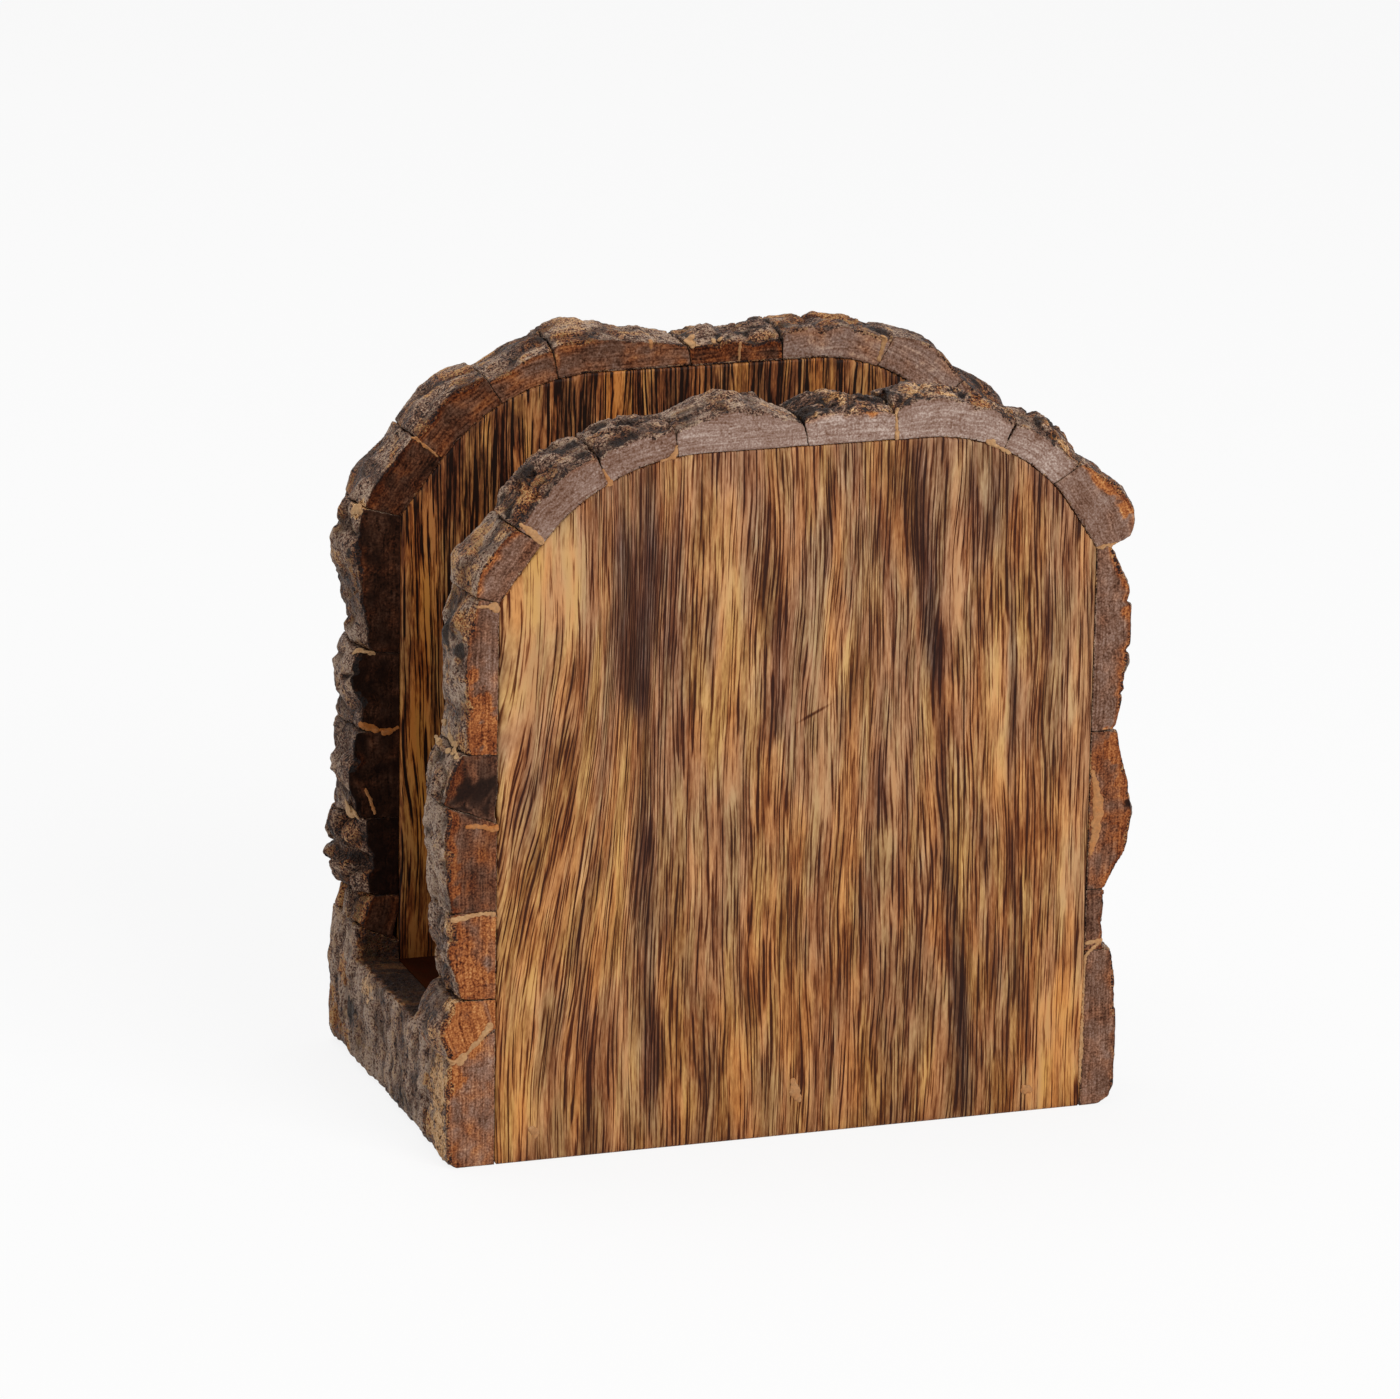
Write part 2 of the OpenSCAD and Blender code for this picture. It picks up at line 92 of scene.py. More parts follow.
# Streaks of dark heartwood on the front board, in mm: x and z of the lower end, x and z of the upper
# end, half width, and how dark from 0 to 1.
FRONT_STREAKS = [
    (-31.5, 86, -34.8, 122, 2.3, 1), (-33.2, 86, -33.8, 103, 2.8, .8), (-30, 85, -29.7, 131, 1.3, .8),
    (-25.3, 92, -27.4, 119, 2.6, .6), (-17.2, 90, -17.6, 108, 1.1, .6), (-5, 96, -8.6, 127, 2.4, .55),
    (-3.5, 76, -5.2, 100, 1.5, .55), (5, 107, 5.1, 132, .8, .6), (26.4, 89, 21.2, 133, 2.2, 1),
    (24, 98, 17.3, 129, 1.5, .45), (14, 85, 13.4, 103, .9, .55), (17, 60, 16, 74, 1.5, .8),
    (30.2, 48, 26.2, 93, 1.2, .85), (34.8, 1, 30.1, 51, 1.7, .95), (33, 16, 31.9, 32, 1.9, .6),
    (42.9, 60, 40.4, 110, 1, .85), (45.6, 20, 42.9, 58, 1.1, .6), (34.4, 106, 33.4, 127, .9, .7),
    (38.9, 113, 37.5, 127, 1.3, .6), (45.4, 105, 45, 127, .8, .7), (49.1, 74, 48.2, 108, .9, .55),
    (-27.2, 1, -29.6, 62, 2, .6), (-27.4, 13, -27.6, 29, 2.4, .6), (-29.6, 57, -28.7, 86, 1.5, .6),
    (-39.6, 1, -42, 41, 1.5, .65), (-43.8, 37, -38.2, 58, 1.8, .55), (-56.5, 65, -46.5, 78, 2.2, .45),
    (-9.2, 19, -9.9, 34, 1.1, .6), (-.5, 32, .3, 48, 1.5, .4), (13.1, 31, 14.3, 53, 2, .4),
    (47.5, 11, 46.4, 28, 1.2, .6), (40.7, 21, 41.3, 36, .9, .55), (21.2, -1, 21.9, 10, 2, .55),
    (-50, 54, -52, 65, 1.3, .45), (36.5, 92, 35.5, 122, 2.2, .35), (22, 20, 25, 60, 1.4, .35),
]
# Zones of paler golden wood on the front board, in the same order.
FRONT_GOLD = [
    (-52, 84, -49.5, 124, 5.5, 1), (-43.5, 98, -43, 120, 2.5, .6), (55.5, 0, 54.5, 118, 2.6, .35),
    (42, 60, 38, 112, 2.8, .6), (-14, 66, -13, 126, 4, .6), (4.5, 58, 5, 100, 3.2, .55),
    (-20, 34, -23, 72, 2.6, .4), (30, 96, 29.5, 128, 1.6, .7), (-37, 40, -34, 64, 2, .5),
    (18, 52, 19, 82, 1.8, .5), (26, 2, 26.5, 18, 1.8, .6), (49, 0, 52, 26, 3.2, .7),
    (-9.5, 2, -9.5, 24, 4, .35), (-53, 4, -50, 44, 4, .5), (-34, 4, -33, 30, 3, .4),
]
# The same for the slot side of the back board: fine dark lines at its left and broader stripes beyond.
BACK_STREAKS = [
    (-54.3, 50, -53.8, 122, .8, 1.2), (-51.3, 40, -50.8, 126, .6, 1), (-56.9, 20, -56.6, 100, .4, 1),
    (-48.5, 30, -47.5, 120, .7, 1), (-44.5, 60, -43, 118, 1.1, .9), (-38, 30, -36.5, 126, 1.6, .8),
    (-30, 20, -29, 133, 1.2, .7), (-22.5, 40, -21, 133, 1.8, .8),
    (-13, 20, -12, 133, 2.4, .85), (-3, 30, -3.5, 133, 2.8, .9), (6, 20, 5, 133, 1.3, .7),
    (14, 40, 15, 133, 1.7, .75), (22, 20, 22.5, 133, 1.2, .8), (31, 30, 30, 130, 1.6, .7),
    (41, 20, 42, 124, 1.2, .6), (50, 10, 49, 110, 1.6, .6),
]
BACK_GOLD = [
    (-54, 10, -53, 112, 3, .9), (-33.5, 40, -33, 128, 1.4, .6), (-17.5, 40, -17, 132, 1.4, .6),
    (2, 30, 1.5, 133, 1.5, .6), (35.5, 30, 36, 128, 1.8, .6), (55, 0, 55, 110, 2.6, .7),
]
# The scratch across the grain of the front board: x and z of its middle, half length and half width in
# mm, and how far it leans from level in radians.
SCRATCH = (2.9, 82.1, 4.2, 0.42, 0.45)
SCRATCH_DEPTH = 2.0
# The three oiled woods. Pitch is how coarse the grain is in mm, ground how dark it is, contrast how far
# its tone swings, gloss how much it reflects, cool how blue its streaks are, amber how yellow its pale
# parts are, and deepest its darkest colour.
WOODS = {
    "front_board": {
        "name": "oiled_streaked_hardwood_front", "pitch": 1.0, "ground": 0.37, "contrast": 1.22,
        "gloss": 0.12, "cool": 0.9, "amber": 0.0, "deepest": "#3C1E12", "scratch": SCRATCH},
    "back_board": {
        "name": "oiled_streaked_hardwood_back", "pitch": 1.2, "ground": 0.44, "contrast": 2.3,
        "gloss": 0.12, "cool": 0.1, "amber": 0.6, "deepest": "#1E0D05"},
    "base_block": {
        "name": "oiled_dark_hardwood_base", "pitch": 1.2, "ground": 1.15, "contrast": 0.8,
        "gloss": 0.0, "cool": 0.0, "amber": 0.0, "deepest": "#3C1E12"},
}
# The two faces of the bark. Layers are the size in mm and strength of its bands along, off and across the
# board's edge, specks and grit those of its spots. Contrast is how far its tone swings, and rusty how much
# more so in rust. Pitted is how dark its pits are, dusty its two palest colours, and torn how ragged its
# patches are. Then come its gloss, the range of its roughness, and the strength and depth of its bumps.
BARKS = {
    "sawn_oiled_bark": {
        "specks": (0.38, 2.2), "grit": 0.75, "layers": ((9.0, 0.45, 9.0), 1.6), "contrast": 0.34,
        "rusty": 0.22, "pitted": -0.12, "dusty": ("#997E71", "#C7B2A6"), "torn": 0.18, "gloss": 0.08,
        "roughness": (0.42, 0.6), "bumps": (0.5, 0.00008)},
    "rough_weathered_bark": {
        "specks": (0.40, 2.4), "grit": 0.95, "layers": ((6.0, 3.0, 0.6), 0.9), "contrast": 1.2,
        "rusty": 0.3, "pitted": -0.40, "dusty": ("#9D7B66", "#C9AE98"), "torn": 0.45, "gloss": 0.22,
        "roughness": (0.38, 0.70), "bumps": (1.0, 0.00035)},
}

# How each kind of bark is broken up, in mm: size and height of its swellings, length and breadth of
# its plates and depth of the furrows between them, size and depth of its cracks, height of its grit
# and of its fibres, and how far it falls away at the ends of a chip.
FORMS = {
    "scalloped": (9, 0.6, (8.5, 26), 1.4, 4.6, 0.20, 0.14, 0.12, 0.40),
    "craggy": (6, 0.7, (5.6, 6.2), 0.7, 2.6, 0.34, 0.24, 0.10, 0.35),
    "smooth": (11, 0.8, (14, 15), 0.5, 5.0, 0.14, 0.12, 0.14, 0.30),
    "fibrous": (9, 0.6, (12, 9), 0.5, 4.0, 0.18, 0.14, 0.24, 0.30),
    "burl": (7, 0.6, (6.2, 6.2), 2.2, 3.2, 0.22, 0.16, 0.08, 0.40),
    "ridged": (12, 0.5, (34, 5.5), 0.35, 3.6, 0.16, 0.14, 0.28, 0.30),
}
# Looks of each chip, for chips 1, 2 and so on of each side: its form; paleness, rust and char of the sawn
# face, where that char on the back chips at the left, whose sawn face looks into the slot, is partly painted
# shade of the slot, and rust of that face's outer rim; paleness, rust, char and ochre of the bark.
CHIP_LOOKS = {
    "left_base_bark": [("ridged", .57, .42, .00, .14, .66, .08, .12, .03)],
    "right_base_bark": [("ridged", .50, .26, .00, .20, .58, .15, .20, .05)],
    "front_bark_left": [
        ("smooth", .56, .85, .05, .20, .56, .15, .15, .05),
        ("craggy", .50, .60, .10, .60, .58, .20, .20, .10),
        ("fibrous", .40, .42, .28, .75, .74, .08, .12, .03),
        ("craggy", .32, .30, .45, .60, .62, .12, .25, .00),
        ("smooth", .48, .30, .05, .30, .66, .20, .20, .00),
    ],
    "front_bark_top": [
        ("smooth", .48, .22, .08, .70, .72, .20, .10, .08),
        ("craggy", .60, .08, .03, .30, .40, .15, .35, .00),
        ("craggy", .65, .03, .00, .10, .45, .10, .30, .00),
        ("fibrous", .71, .03, .00, .10, .62, .12, .20, .05),
        ("craggy", .76, .08, .00, .30, .30, .10, .70, .25),
        ("craggy", .75, .05, .00, .20, .42, .25, .50, .20),
        ("craggy", .74, .05, .00, .20, .42, .28, .45, .12),
        ("smooth", .60, .16, .00, .60, .52, .35, .15, .00),
    ],
    "front_bark_right": [
        ("scalloped", .52, .22, .05, .50, .56, .25, .20, .00),
        ("smooth", .44, .46, .12, .60, .50, .40, .25, .00),
        ("craggy", .36, .40, .10, .30, .46, .30, .25, .00),
    ],
    "back_bark_left": [
        ("craggy", .30, .45, .40, .30, .42, .42, .30, .05),
        ("burl", .12, .30, .70, .20, .34, .15, .30, .00),
        ("scalloped", .24, .28, .58, .05, .56, .08, .12, .00),
        ("scalloped", .22, .26, .62, .05, .56, .10, .14, .00),
        ("scalloped", .24, .30, .50, .20, .52, .16, .16, .02),
    ],
    "back_bark_top": [
        ("smooth", .26, .40, .40, .40, .50, .22, .14, .05),
        ("smooth", .34, .42, .25, .30, .46, .18, .20, .05),
        ("smooth", .46, .45, .15, .20, .48, .20, .20, .00),
        ("fibrous", .50, .42, .12, .15, .60, .14, .12, .03),
        ("craggy", .30, .55, .15, .30, .50, .15, .40, .12),
        ("scalloped", .68, .26, .05, .10, .50, .22, .25, .05),
        ("smooth", .68, .24, .05, .10, .52, .20, .20, .00),
        ("smooth", .55, .18, .10, .20, .34, .20, .40, .05),
    ],
    "back_bark_right": [
        ("scalloped", .52, .20, .10, .30, .56, .20, .20, .00),
        ("craggy", .42, .35, .12, .30, .52, .22, .22, .03),
        ("fibrous", .38, .25, .08, .20, .56, .18, .18, .03),
    ],
}
LOOKS = {}
for group, rows in CHIP_LOOKS.items():
    for place, row in enumerate(rows, 1):
        LOOKS[group if len(rows) == 1 else f"{group}_{place}"] = row
# The char mark is partly soot and partly painted shade: in the bark's furrows and cracks, in the gap between
# two chips, on the sawn faces of the back chips at the left and on the tops of the base pieces.
MARKS = ("pale", "rust", "char_and_shade", "ochre")
# The slanted gap between two chips at the upper right of the front board, pushed in and painted black as
# shade: x, z and radius in mm.
HOLES = [
    (41.5, 134.9, 1.05), (41.1, 134.2, 1.0), (40.7, 133.5, 0.95), (40.3, 132.8, 0.85), (39.9, 132.2, 0.7),
]
HOLE_DEPTH = 1.6
# Single patches on the bark, for each mark: centre x, y and z and radius in mm, and strength.
SPOTS = {
    "ochre": [
        (-68.6, -33.5, 13.5, 6, 1), (-68, -33.5, 7.5, 5.6, 1), (-67, -34.5, 3.5, 4.2, 1),
        (-69, -34, 18.5, 4, .8), (-68, 14.5, 18.5, 3.4, .6), (-67.5, 3, 10, 2.4, .3),
        (-68.5, -34.5, 26, 2.2, .6), (-66.5, -37.5, 32.5, 2.2, .8), (-66.5, -36, 47.5, 2.2, .6),
        (-57.5, -36.5, 119.5, 1.6, .5), (-53, -37, 127, 1.6, .5), (7, -33, 141, 1.8, .9),
        (23, -34, 141, 2.2, .9), (29, -36, 140.5, 1.6, .8), (51.8, -36.5, 129.4, 1.7, 1),
        (-66, 25, 109.5, 2, .9), (-70.5, 25, 49.5, 1.6, .8),
    ],
    "rust": [
        (-69, -31.5, 21.5, 3.6, .8), (-68, -27.5, 5, 3.2, .9), (-68.6, -27, 13, 2.6, .5),
        (-66, -38.7, 17.5, 1.8, .9), (-67.5, -38.7, 15, 1.2, .7), (-68, 34, 5.5, 3.6, 1),
        (-68, 28, 4, 3, .9), (-68, 29, 17, 3, .8), (-68, 36.5, 10, 2.4, .9),
        (-64, -38.7, 25, 4, .4), (-64.8, -38.7, 36, 2.8, 1), (-64.6, -38.7, 38.6, 2.4, 1),
        (-62, -38.7, 36, 3, .5), (-66.3, -38.7, 53.5, 1.7, 1), (-66.8, -38.7, 58, 1.6, .9),
        (-66.9, -38.7, 62.5, 1.6, .9), (-67, -38.7, 67, 1.8, .8), (-66.3, -38.2, 75.5, 2, .8),
        (-61, -38.7, 83.5, 4.2, .9), (-62.3, -38.7, 89, 2.8, .8), (-63, -38.7, 94.5, 1.6, .6),
        (-65.5, -35.5, 104, 2.6, .9), (-66, -27, 93, 2, .4), (-53, -36, 127.5, 3.4, 1),
        (-44.5, -37.5, 134.5, 2, .6), (13, -38, 139, 2, .6), (34.5, -37.5, 139.5, 2.4, .8),
        (60, -38.7, 123.5, 3, .7), (63.3, -38.7, 117, 1.8, .7), (64.5, -38.7, 104, 2.2, .8),
        (64.8, -38.7, 97, 1.4, .5), (64, -38.7, 71, 3.2, 1), (65.3, -38.7, 64, 2, .9),
        (65.8, -38.7, 55, 2, .9), (64, -38.7, 45.5, 1.6, .8), (-68, 25, 96, 1.8, .8),
        (-67, 24.5, 90, 1.6, .6), (-66, 23.8, 60, 1.4, .8), (-65, 24, 38, 2.4, .5),
        (-64.5, 24.5, 29, 2.6, .7), (-26, 25, 140.5, 2, .4),
    ],
    "char_and_shade": [
        (-68, 24, 10, 3, .5), (-68, -10, 4, 3, .4), (-62.5, -38.7, 72, 4.2, .3),
        (-66, -31, 100, 3, .8), (-65, -36.5, 99, 1.4, .9), (-51, -38, 125, 1.3, 1),
        (-55, -36.5, 129, 1.2, .9), (.5, -37, 138.5, 2.2, 1), (66.4, -38.5, 59.5, 1.4, .9),
        (62, -38.5, 41, 1.2, .8), (-68.5, 25, 101, 1.4, 1), (-66.5, 24.5, 76, 2.6, 1),
    ],
}
# Putty pressed into the joints of each side: its tone from 0 for cream to 1 for amber, then x, y, z and
# radius in mm of points along it.
PUTTY = {
    "front": [
        (.55, [(-62.2, -38.6, 107.3, .35), (-60, -38.6, 107.3, .45), (-58.6, -38.6, 106.9, .9),
               (-59.3, -38.6, 107.7, .7)]),
        (.85, [(-63.7, -38.6, 66, .4), (-61.5, -38.6, 65.8, .6), (-60, -38.6, 65.4, .5),
               (-58.3, -38.6, 65.2, .8)]),
        (.35, [(-66.2, -38.3, 48.4, .8), (-64.8, -38.5, 48.3, .6), (-63.2, -38.6, 48.8, .5),
               (-60.5, -38.6, 49, .4), (-58.4, -38.6, 48.8, .6)]),
        (.35, [(-67.2, -38.2, 21.5, .6), (-66, -38.4, 20.8, .8), (-64.8, -38.5, 21, 1),
               (-63.6, -38.5, 22.4, .7), (-62, -38.6, 23.8, .5), (-60.6, -38.6, 25.4, .5),
               (-59, -38.5, 27.2, .8)]),
        (.15, [(-69, -24.5, 82.6, .3), (-69, -27, 83, .45), (-68.6, -29.5, 82.8, .6),
               (-68.2, -32, 82, .7), (-67.4, -34.5, 81.2, .75), (-66.6, -36.8, 80.3, .6),
               (-66, -38, 79.4, .4)]),
        (.45, [(-53.4, -38.5, 121.6, .5), (-52.2, -38.6, 120.6, .8), (-51, -38.6, 119.5, .9),
               (-50.2, -38.6, 118.7, .8), (-54.2, -38.5, 122.4, .4)]),
        (.65, [(-38.6, -38.6, 131.2, .35), (-37.8, -38.6, 129.8, .45), (-36.9, -38.6, 128.5, .6),
               (-37.6, -38.6, 128.2, .5)]),
        (.55, [(-27.4, -38.6, 131.9, .5), (-26, -38.6, 132.6, .6), (-24.8, -38.6, 133.2, .6),
               (-24.6, -38.6, 134.8, .35)]),
        (.35, [(17.7, -38.6, 139, .3), (17.7, -38.6, 137, .3), (17.8, -38.6, 135, .35),
               (17.9, -38.6, 133.5, .7)]),
        (.3, [(37, -38.5, 130.9, .9), (35.6, -38.6, 131.5, .6), (38.6, -38.6, 129.9, .7),
              (40.2, -38.6, 128.8, .35)]),
        (.45, [(58.4, -38.6, 109.8, .8), (59.8, -38.6, 109.9, .5), (61, -38.6, 110, .45),
               (62.2, -38.5, 110.2, .4)]),
        (.7, [(58.5, -38.6, 66.5, .4), (59, -38.5, 64, .7), (59.6, -38.5, 61.5, 1),
              (59.8, -38.5, 58.5, 1.15), (59.5, -38.5, 55.5, 1.05), (59, -38.5, 52.5, .8),
              (58.6, -38.6, 50, .4)]),
        (.35, [(58.4, -38.6, 32.4, .5), (59.8, -38.6, 32.6, .45), (61.4, -38.6, 32.8, .4),
               (58.3, -38.6, 30, .35), (58, -38.6, 26, .4), (57.9, -38.6, 18, .35),
               (57.8, -38.6, 12, .6), (57.7, -38.6, 5, .35)]),
    ],
    "back": [
        (.95, [(-65.8, 23.9, 67.4, .7), (-64.2, 23.9, 66.9, .8), (-62.6, 23.9, 66.2, .75),
               (-61, 23.9, 65.7, .8), (-59.4, 23.9, 65.8, .75), (-58.3, 23.9, 66.3, .6)]),
        (.75, [(-64.7, 23.9, 54.6, .3), (-63.6, 23.9, 52, .4), (-62.8, 23.9, 49.6, .4)]),
        (.25, [(-69, 24.2, 83.6, .4), (-67, 24.1, 82.8, .6), (-65, 24, 81.8, .6),
               (-63, 23.9, 81.2, .4)]),
        (.2, [(-70.6, 26, 50.6, .8), (-70.2, 24.8, 49.6, 1.2), (-69, 24.2, 48.8, 1.1),
              (-67.6, 24, 48.2, .7)]),
        (.7, [(-56, 23.9, 123.4, .35), (-54, 23.9, 121.8, .45), (-52.2, 23.9, 120.2, .45),
              (-50.8, 23.9, 119, .4)]),
        (.25, [(-68.2, 25.6, 110.2, 1.2), (-66.6, 25, 109.8, 1.3), (-65.4, 24.6, 109, .9)]),
        (.35, [(-1.6, 25.4, 140.2, .7), (-1, 25, 139.2, 1), (-.5, 24.6, 138, 1),
               (-.4, 24.2, 136.8, .7)]),
        (.6, [(-8.8, 23.9, 139.4, .35), (-8.8, 23.9, 138.2, .45), (-8.8, 23.9, 137, .3)]),
        (.5, [(9.1, 23.9, 137, .3), (9, 23.9, 135.2, .35), (8.9, 23.9, 133.6, .3)]),
        (.4, [(38.6, 23.9, 137.6, .6), (38.3, 23.9, 135.8, .6), (37.8, 23.9, 134, .5),
              (37.3, 23.9, 132, .5)]),
        (.25, [(4, 24.2, 138.2, .6), (4.8, 24.4, 138.6, .5)]),
    ],
}
# The putty over the nails, in the same form.
NAIL_PUTTY = {
    "front": [
        (.5, [(-50.5, -38.5, 5.9, .95), (-51.2, -38.5, 6.4, .6), (-49.9, -38.5, 5.3, .7),
              (-50.3, -38.6, 4.8, .4)]),
        (.55, [(.2, -38.5, 9.9, .9), (.7, -38.5, 8.6, 1.1), (1.1, -38.5, 7.6, .9), (.1, -38.6, 10.8, .6),
               (1.5, -38.6, 6.9, .5)]),
        (.6, [(47, -38.5, 4.5, .95), (47.7, -38.5, 4.2, .7), (46.4, -38.6, 5, .6)]),
    ],
    "back": [
        (.8, [(-46.4, 38.5, 5.2, .95), (-47.1, 38.5, 5.5, .6)]),
        (.8, [(4.6, 38.5, 7.2, 1), (4, 38.5, 6.6, .7), (5.2, 38.6, 7.7, .5)]),
        (.8, [(51, 38.5, 6.5, .95), (50.4, 38.5, 7, .6)]),
    ],
}


class HolderSizes(bpy.types.PropertyGroup):
    """The sizes a user would change."""
    bark_grain: bpy.props.FloatProperty(
        name="Bark grain", description="Size of the smallest detail modelled in the bark",
        default=0.00036, min=0.0002, max=0.002, precision=5, unit="LENGTH")
    glue_gap: bpy.props.FloatProperty(
        name="Glue gap", description="Room under the bark that the visible chips close up",
        default=0.00028, min=0.0, max=0.001, precision=5, unit="LENGTH")
    relief: bpy.props.FloatProperty(
        name="Relief", description="Depth of the bark's furrows, as a share of the modelled depth",
        default=1.0, min=0.0, max=1.5, subtype="FACTOR")
    camera_place: bpy.props.FloatVectorProperty(
        name="Camera", description="Where the camera stands",
        default=(-0.45053, -1.28730, 0.47780), subtype="XYZ", unit="LENGTH")


class HolderColours(bpy.types.PropertyGroup):
    """The colours a user would change."""
    wood_light: bpy.props.FloatVectorProperty(
        name="Light wood", description="Pale ground of the boards", size=4, min=0, max=1,
        default=linear("#BD9065"), subtype="COLOR")
    wood_brown: bpy.props.FloatVectorProperty(
        name="Brown wood", description="Darker ground of the boards", size=4, min=0, max=1,
        default=linear("#8A5A38"), subtype="COLOR")
    wood_line: bpy.props.FloatVectorProperty(
        name="Grain lines", description="Dark pores along the grain", size=4, min=0, max=1,
        default=linear("#5B2F16"), subtype="COLOR")
    putty: bpy.props.FloatVectorProperty(
        name="Wood putty", description="Filler in the joints", size=4, min=0, max=1,
        default=linear("#CDAA7C"), subtype="COLOR")


# Numbers for the natural surfaces. All of them come from these functions, so each run is the same.

def dice(cell, seed, count):
    """Random numbers from 0 to 1 for each whole-number cell. The large odd numbers only scatter them."""
    c = cell.astype(np.int64)
    h = (c[..., 0] * 73856093) ^ (c[..., 1] * 19349663) ^ (c[..., 2] * 83492791)
    h = h ^ (seed * 2654435761 % 2**31)
    rows = []
    for _ in range(count):
        h = ((h ^ (h >> 13)) * 1274126177) & 0xFFFFFFFFFF
        h = h ^ (h >> 17)
        rows.append((h & 0xFFFFFF) / 0xFFFFFF)
    return np.stack(rows, -1)


def wave(p, seed, octaves=1):
    """Smooth noise from about -1 to 1, with one swelling to a unit, and half as large ones after that."""
    finer, weaker, shift, gain = 2.03, 0.55, 17.3, 1.7
    total = 0
    for k in range(octaves):
        q = p * finer ** k + shift * k
        base = np.floor(q)
        f = q - base
        u = f * f * f * (f * (f * 6 - 15) + 10)
        part = 0
        for corner in np.ndindex(2, 2, 2):
            c = np.array(corner)
            slope = dice(base + c, seed + 31 * k, 3) * 2 - 1
            part = part + np.prod(np.where(c == 1, u, 1 - u), axis=-1) * ((f - c) * slope).sum(-1)
        total = total + part * gain * weaker ** k
    return total


def plates(p, seed):
    """Distance to the nearest and the second nearest middle of a plate, and a number for the nearest."""
    base = np.floor(p)
    near = np.full(len(p), 9.0)
    second, tag = near.copy(), near * 0
    for corner in np.ndindex(3, 3, 3):
        c = base + np.array(corner) - 1
        r = dice(c, seed, 4)
        d = np.linalg.norm(c + r[:, :3] - p, axis=1)
        closer = d < near
        second = np.where(closer, near, np.minimum(second, d))
        tag = np.where(closer, r[:, 3], tag)
        near = np.where(closer, d, near)
    return near, second, tag


def ease(x, low, high):
    """0 below low, 1 above high and smooth between; the other way round where low is the higher."""
    t = np.clip((x - low) / (high - low), 0, 1)
    return t * t * (3 - 2 * t)


# The boards' edge, from the front board's own outline.

def turn_at(a, b, c):
    """Above 0 where the way from a over b to c turns left."""
    return np.cross(np.subtract(b, a), np.subtract(c, b))


def board_edge():
    """The outline of the front board from its lower left corner over the top, in mm."""
    co = points_of(frame["nodes"]["front_board"])
    flat = sorted(set(map(tuple, co[co[:, 1] < FRONT_Y + 0.01][:, [0, 2]].round(3).tolist())))
    hull = []
    for run in (flat, flat[::-1]):
        side = []
        for p in run:
            while len(side) > 1 and turn_at(side[-2], side[-1], p) <= 1e-9:
                side.pop()
            side.append(p)
        hull += side[:-1]
    return np.array([hull[0]] + hull[:0:-1])


def locate(edge, xz):
    """How far along the edge and how far off it each point is, with the way out from it."""
    a, b = edge[:-1], edge[1:]
    d = b - a
    length = np.linalg.norm(d, axis=1)
    start = np.concatenate([[0], np.cumsum(length)[:-1]])
    t = np.clip(((xz[:, None] - a) * d).sum(-1) / length ** 2, 0, 1)
    foot = a + t[..., None] * d
    gap = np.linalg.norm(xz[:, None] - foot, axis=-1)
    i = gap.argmin(1)
    rows = np.arange(len(xz))
    way = d[i] / length[i][:, None]
    out = np.stack([-way[:, 1], way[:, 0]], 1)
    off = xz - foot[rows, i]
    far = np.linalg.norm(off, axis=1)
    # Next to the edge the way out is square to it, and further off it is the way to the point.
    out = np.where((far > 0.2)[:, None], off / np.maximum(far, 1e-9)[:, None], out)
    return start[i] + t[rows, i] * length[i], far, out


# Meshes

def points_of(obj):
    """The vertices in mm."""
    co = np.empty(len(obj.data.vertices) * 3)
    obj.data.vertices.foreach_get("co", co)
    return co.reshape(-1, 3) / MM


def normals_of(obj):
    """The normals at the vertices."""
    normal = np.empty(len(obj.data.vertices) * 3)
    obj.data.vertices.foreach_get("normal", normal)
    return normal.reshape(-1, 3)


def place_points(obj, co):
    """Puts the vertices at these points in mm."""
    obj.data.vertices.foreach_set("co", (co * MM).ravel())
    obj.data.update()


def only(obj):
    """Selects this object alone."""
    bpy.ops.object.select_all(action="DESELECT")
    obj.select_set(True)
    bpy.context.view_layer.objects.active = obj


def finish_with(obj, kind, **settings):
    """Adds a modifier and applies it."""
    only(obj)
    modifier = obj.modifiers.new(kind.lower(), kind)
    for name, value in settings.items():
        setattr(modifier, name, value)
    bpy.ops.object.modifier_apply(modifier=modifier.name)


def remesh(obj, grain):
    """Gives it an even mesh of this size in m."""
    finish_with(obj, "REMESH", mode="VOXEL", voxel_size=grain, adaptivity=0)


def copy_of(node, name):
    """A merged copy of a CAD node, under a name of its own."""
    piece = bpy.data.objects.new(name, frame["nodes"][node].data.copy())
    piece.data.materials.clear()
    bpy.context.scene.collection.objects.link(piece)
    only(piece)
    bpy.ops.object.mode_set(mode="EDIT")
    bpy.ops.mesh.select_all(action="SELECT")
    bpy.ops.mesh.remove_doubles(threshold=1e-6)
    bpy.ops.object.mode_set(mode="OBJECT")
    return piece


def write_mark(piece, name, values):
    """Keeps a number for each vertex, for the materials to read."""
    mark = piece.data.attributes.new(name, "FLOAT", "POINT")
    mark.data.foreach_set("value", values.astype(np.float32))


def write_way(piece, s, r, y):
    """Keeps the place along, off and across the board's edge, in mm, for patterns that follow it."""
    way = piece.data.attributes.new("way", "FLOAT_VECTOR", "POINT")
    way.data.foreach_set("vector", np.stack([s, r, y], 1).astype(np.float32).ravel())


def dress(piece, materials, node):
    """Gives a finished piece its materials, body and slots, and hides the node it stands for."""
    for material in materials:
        piece.data.materials.append(material)
    only(piece)
    bpy.ops.object.shade_smooth()
    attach(piece, "root")
    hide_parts(node)


def paint(node, material):
    """Gives its material to a CAD node that is shown as it is."""
    for slot in frame["nodes"][node].material_slots:
        slot.material = material


# Materials

def wire(node, links):
    """Sets a node's inputs, or links them to a socket or another node."""
    for name, value in links.items():
        if isinstance(value, bpy.types.Node):
            value = next(socket for socket in value.outputs if socket.enabled)
        if isinstance(value, bpy.types.NodeSocket):
            node.id_data.links.new(value, node.inputs[name])
        else:
            node.inputs[name].default_value = value


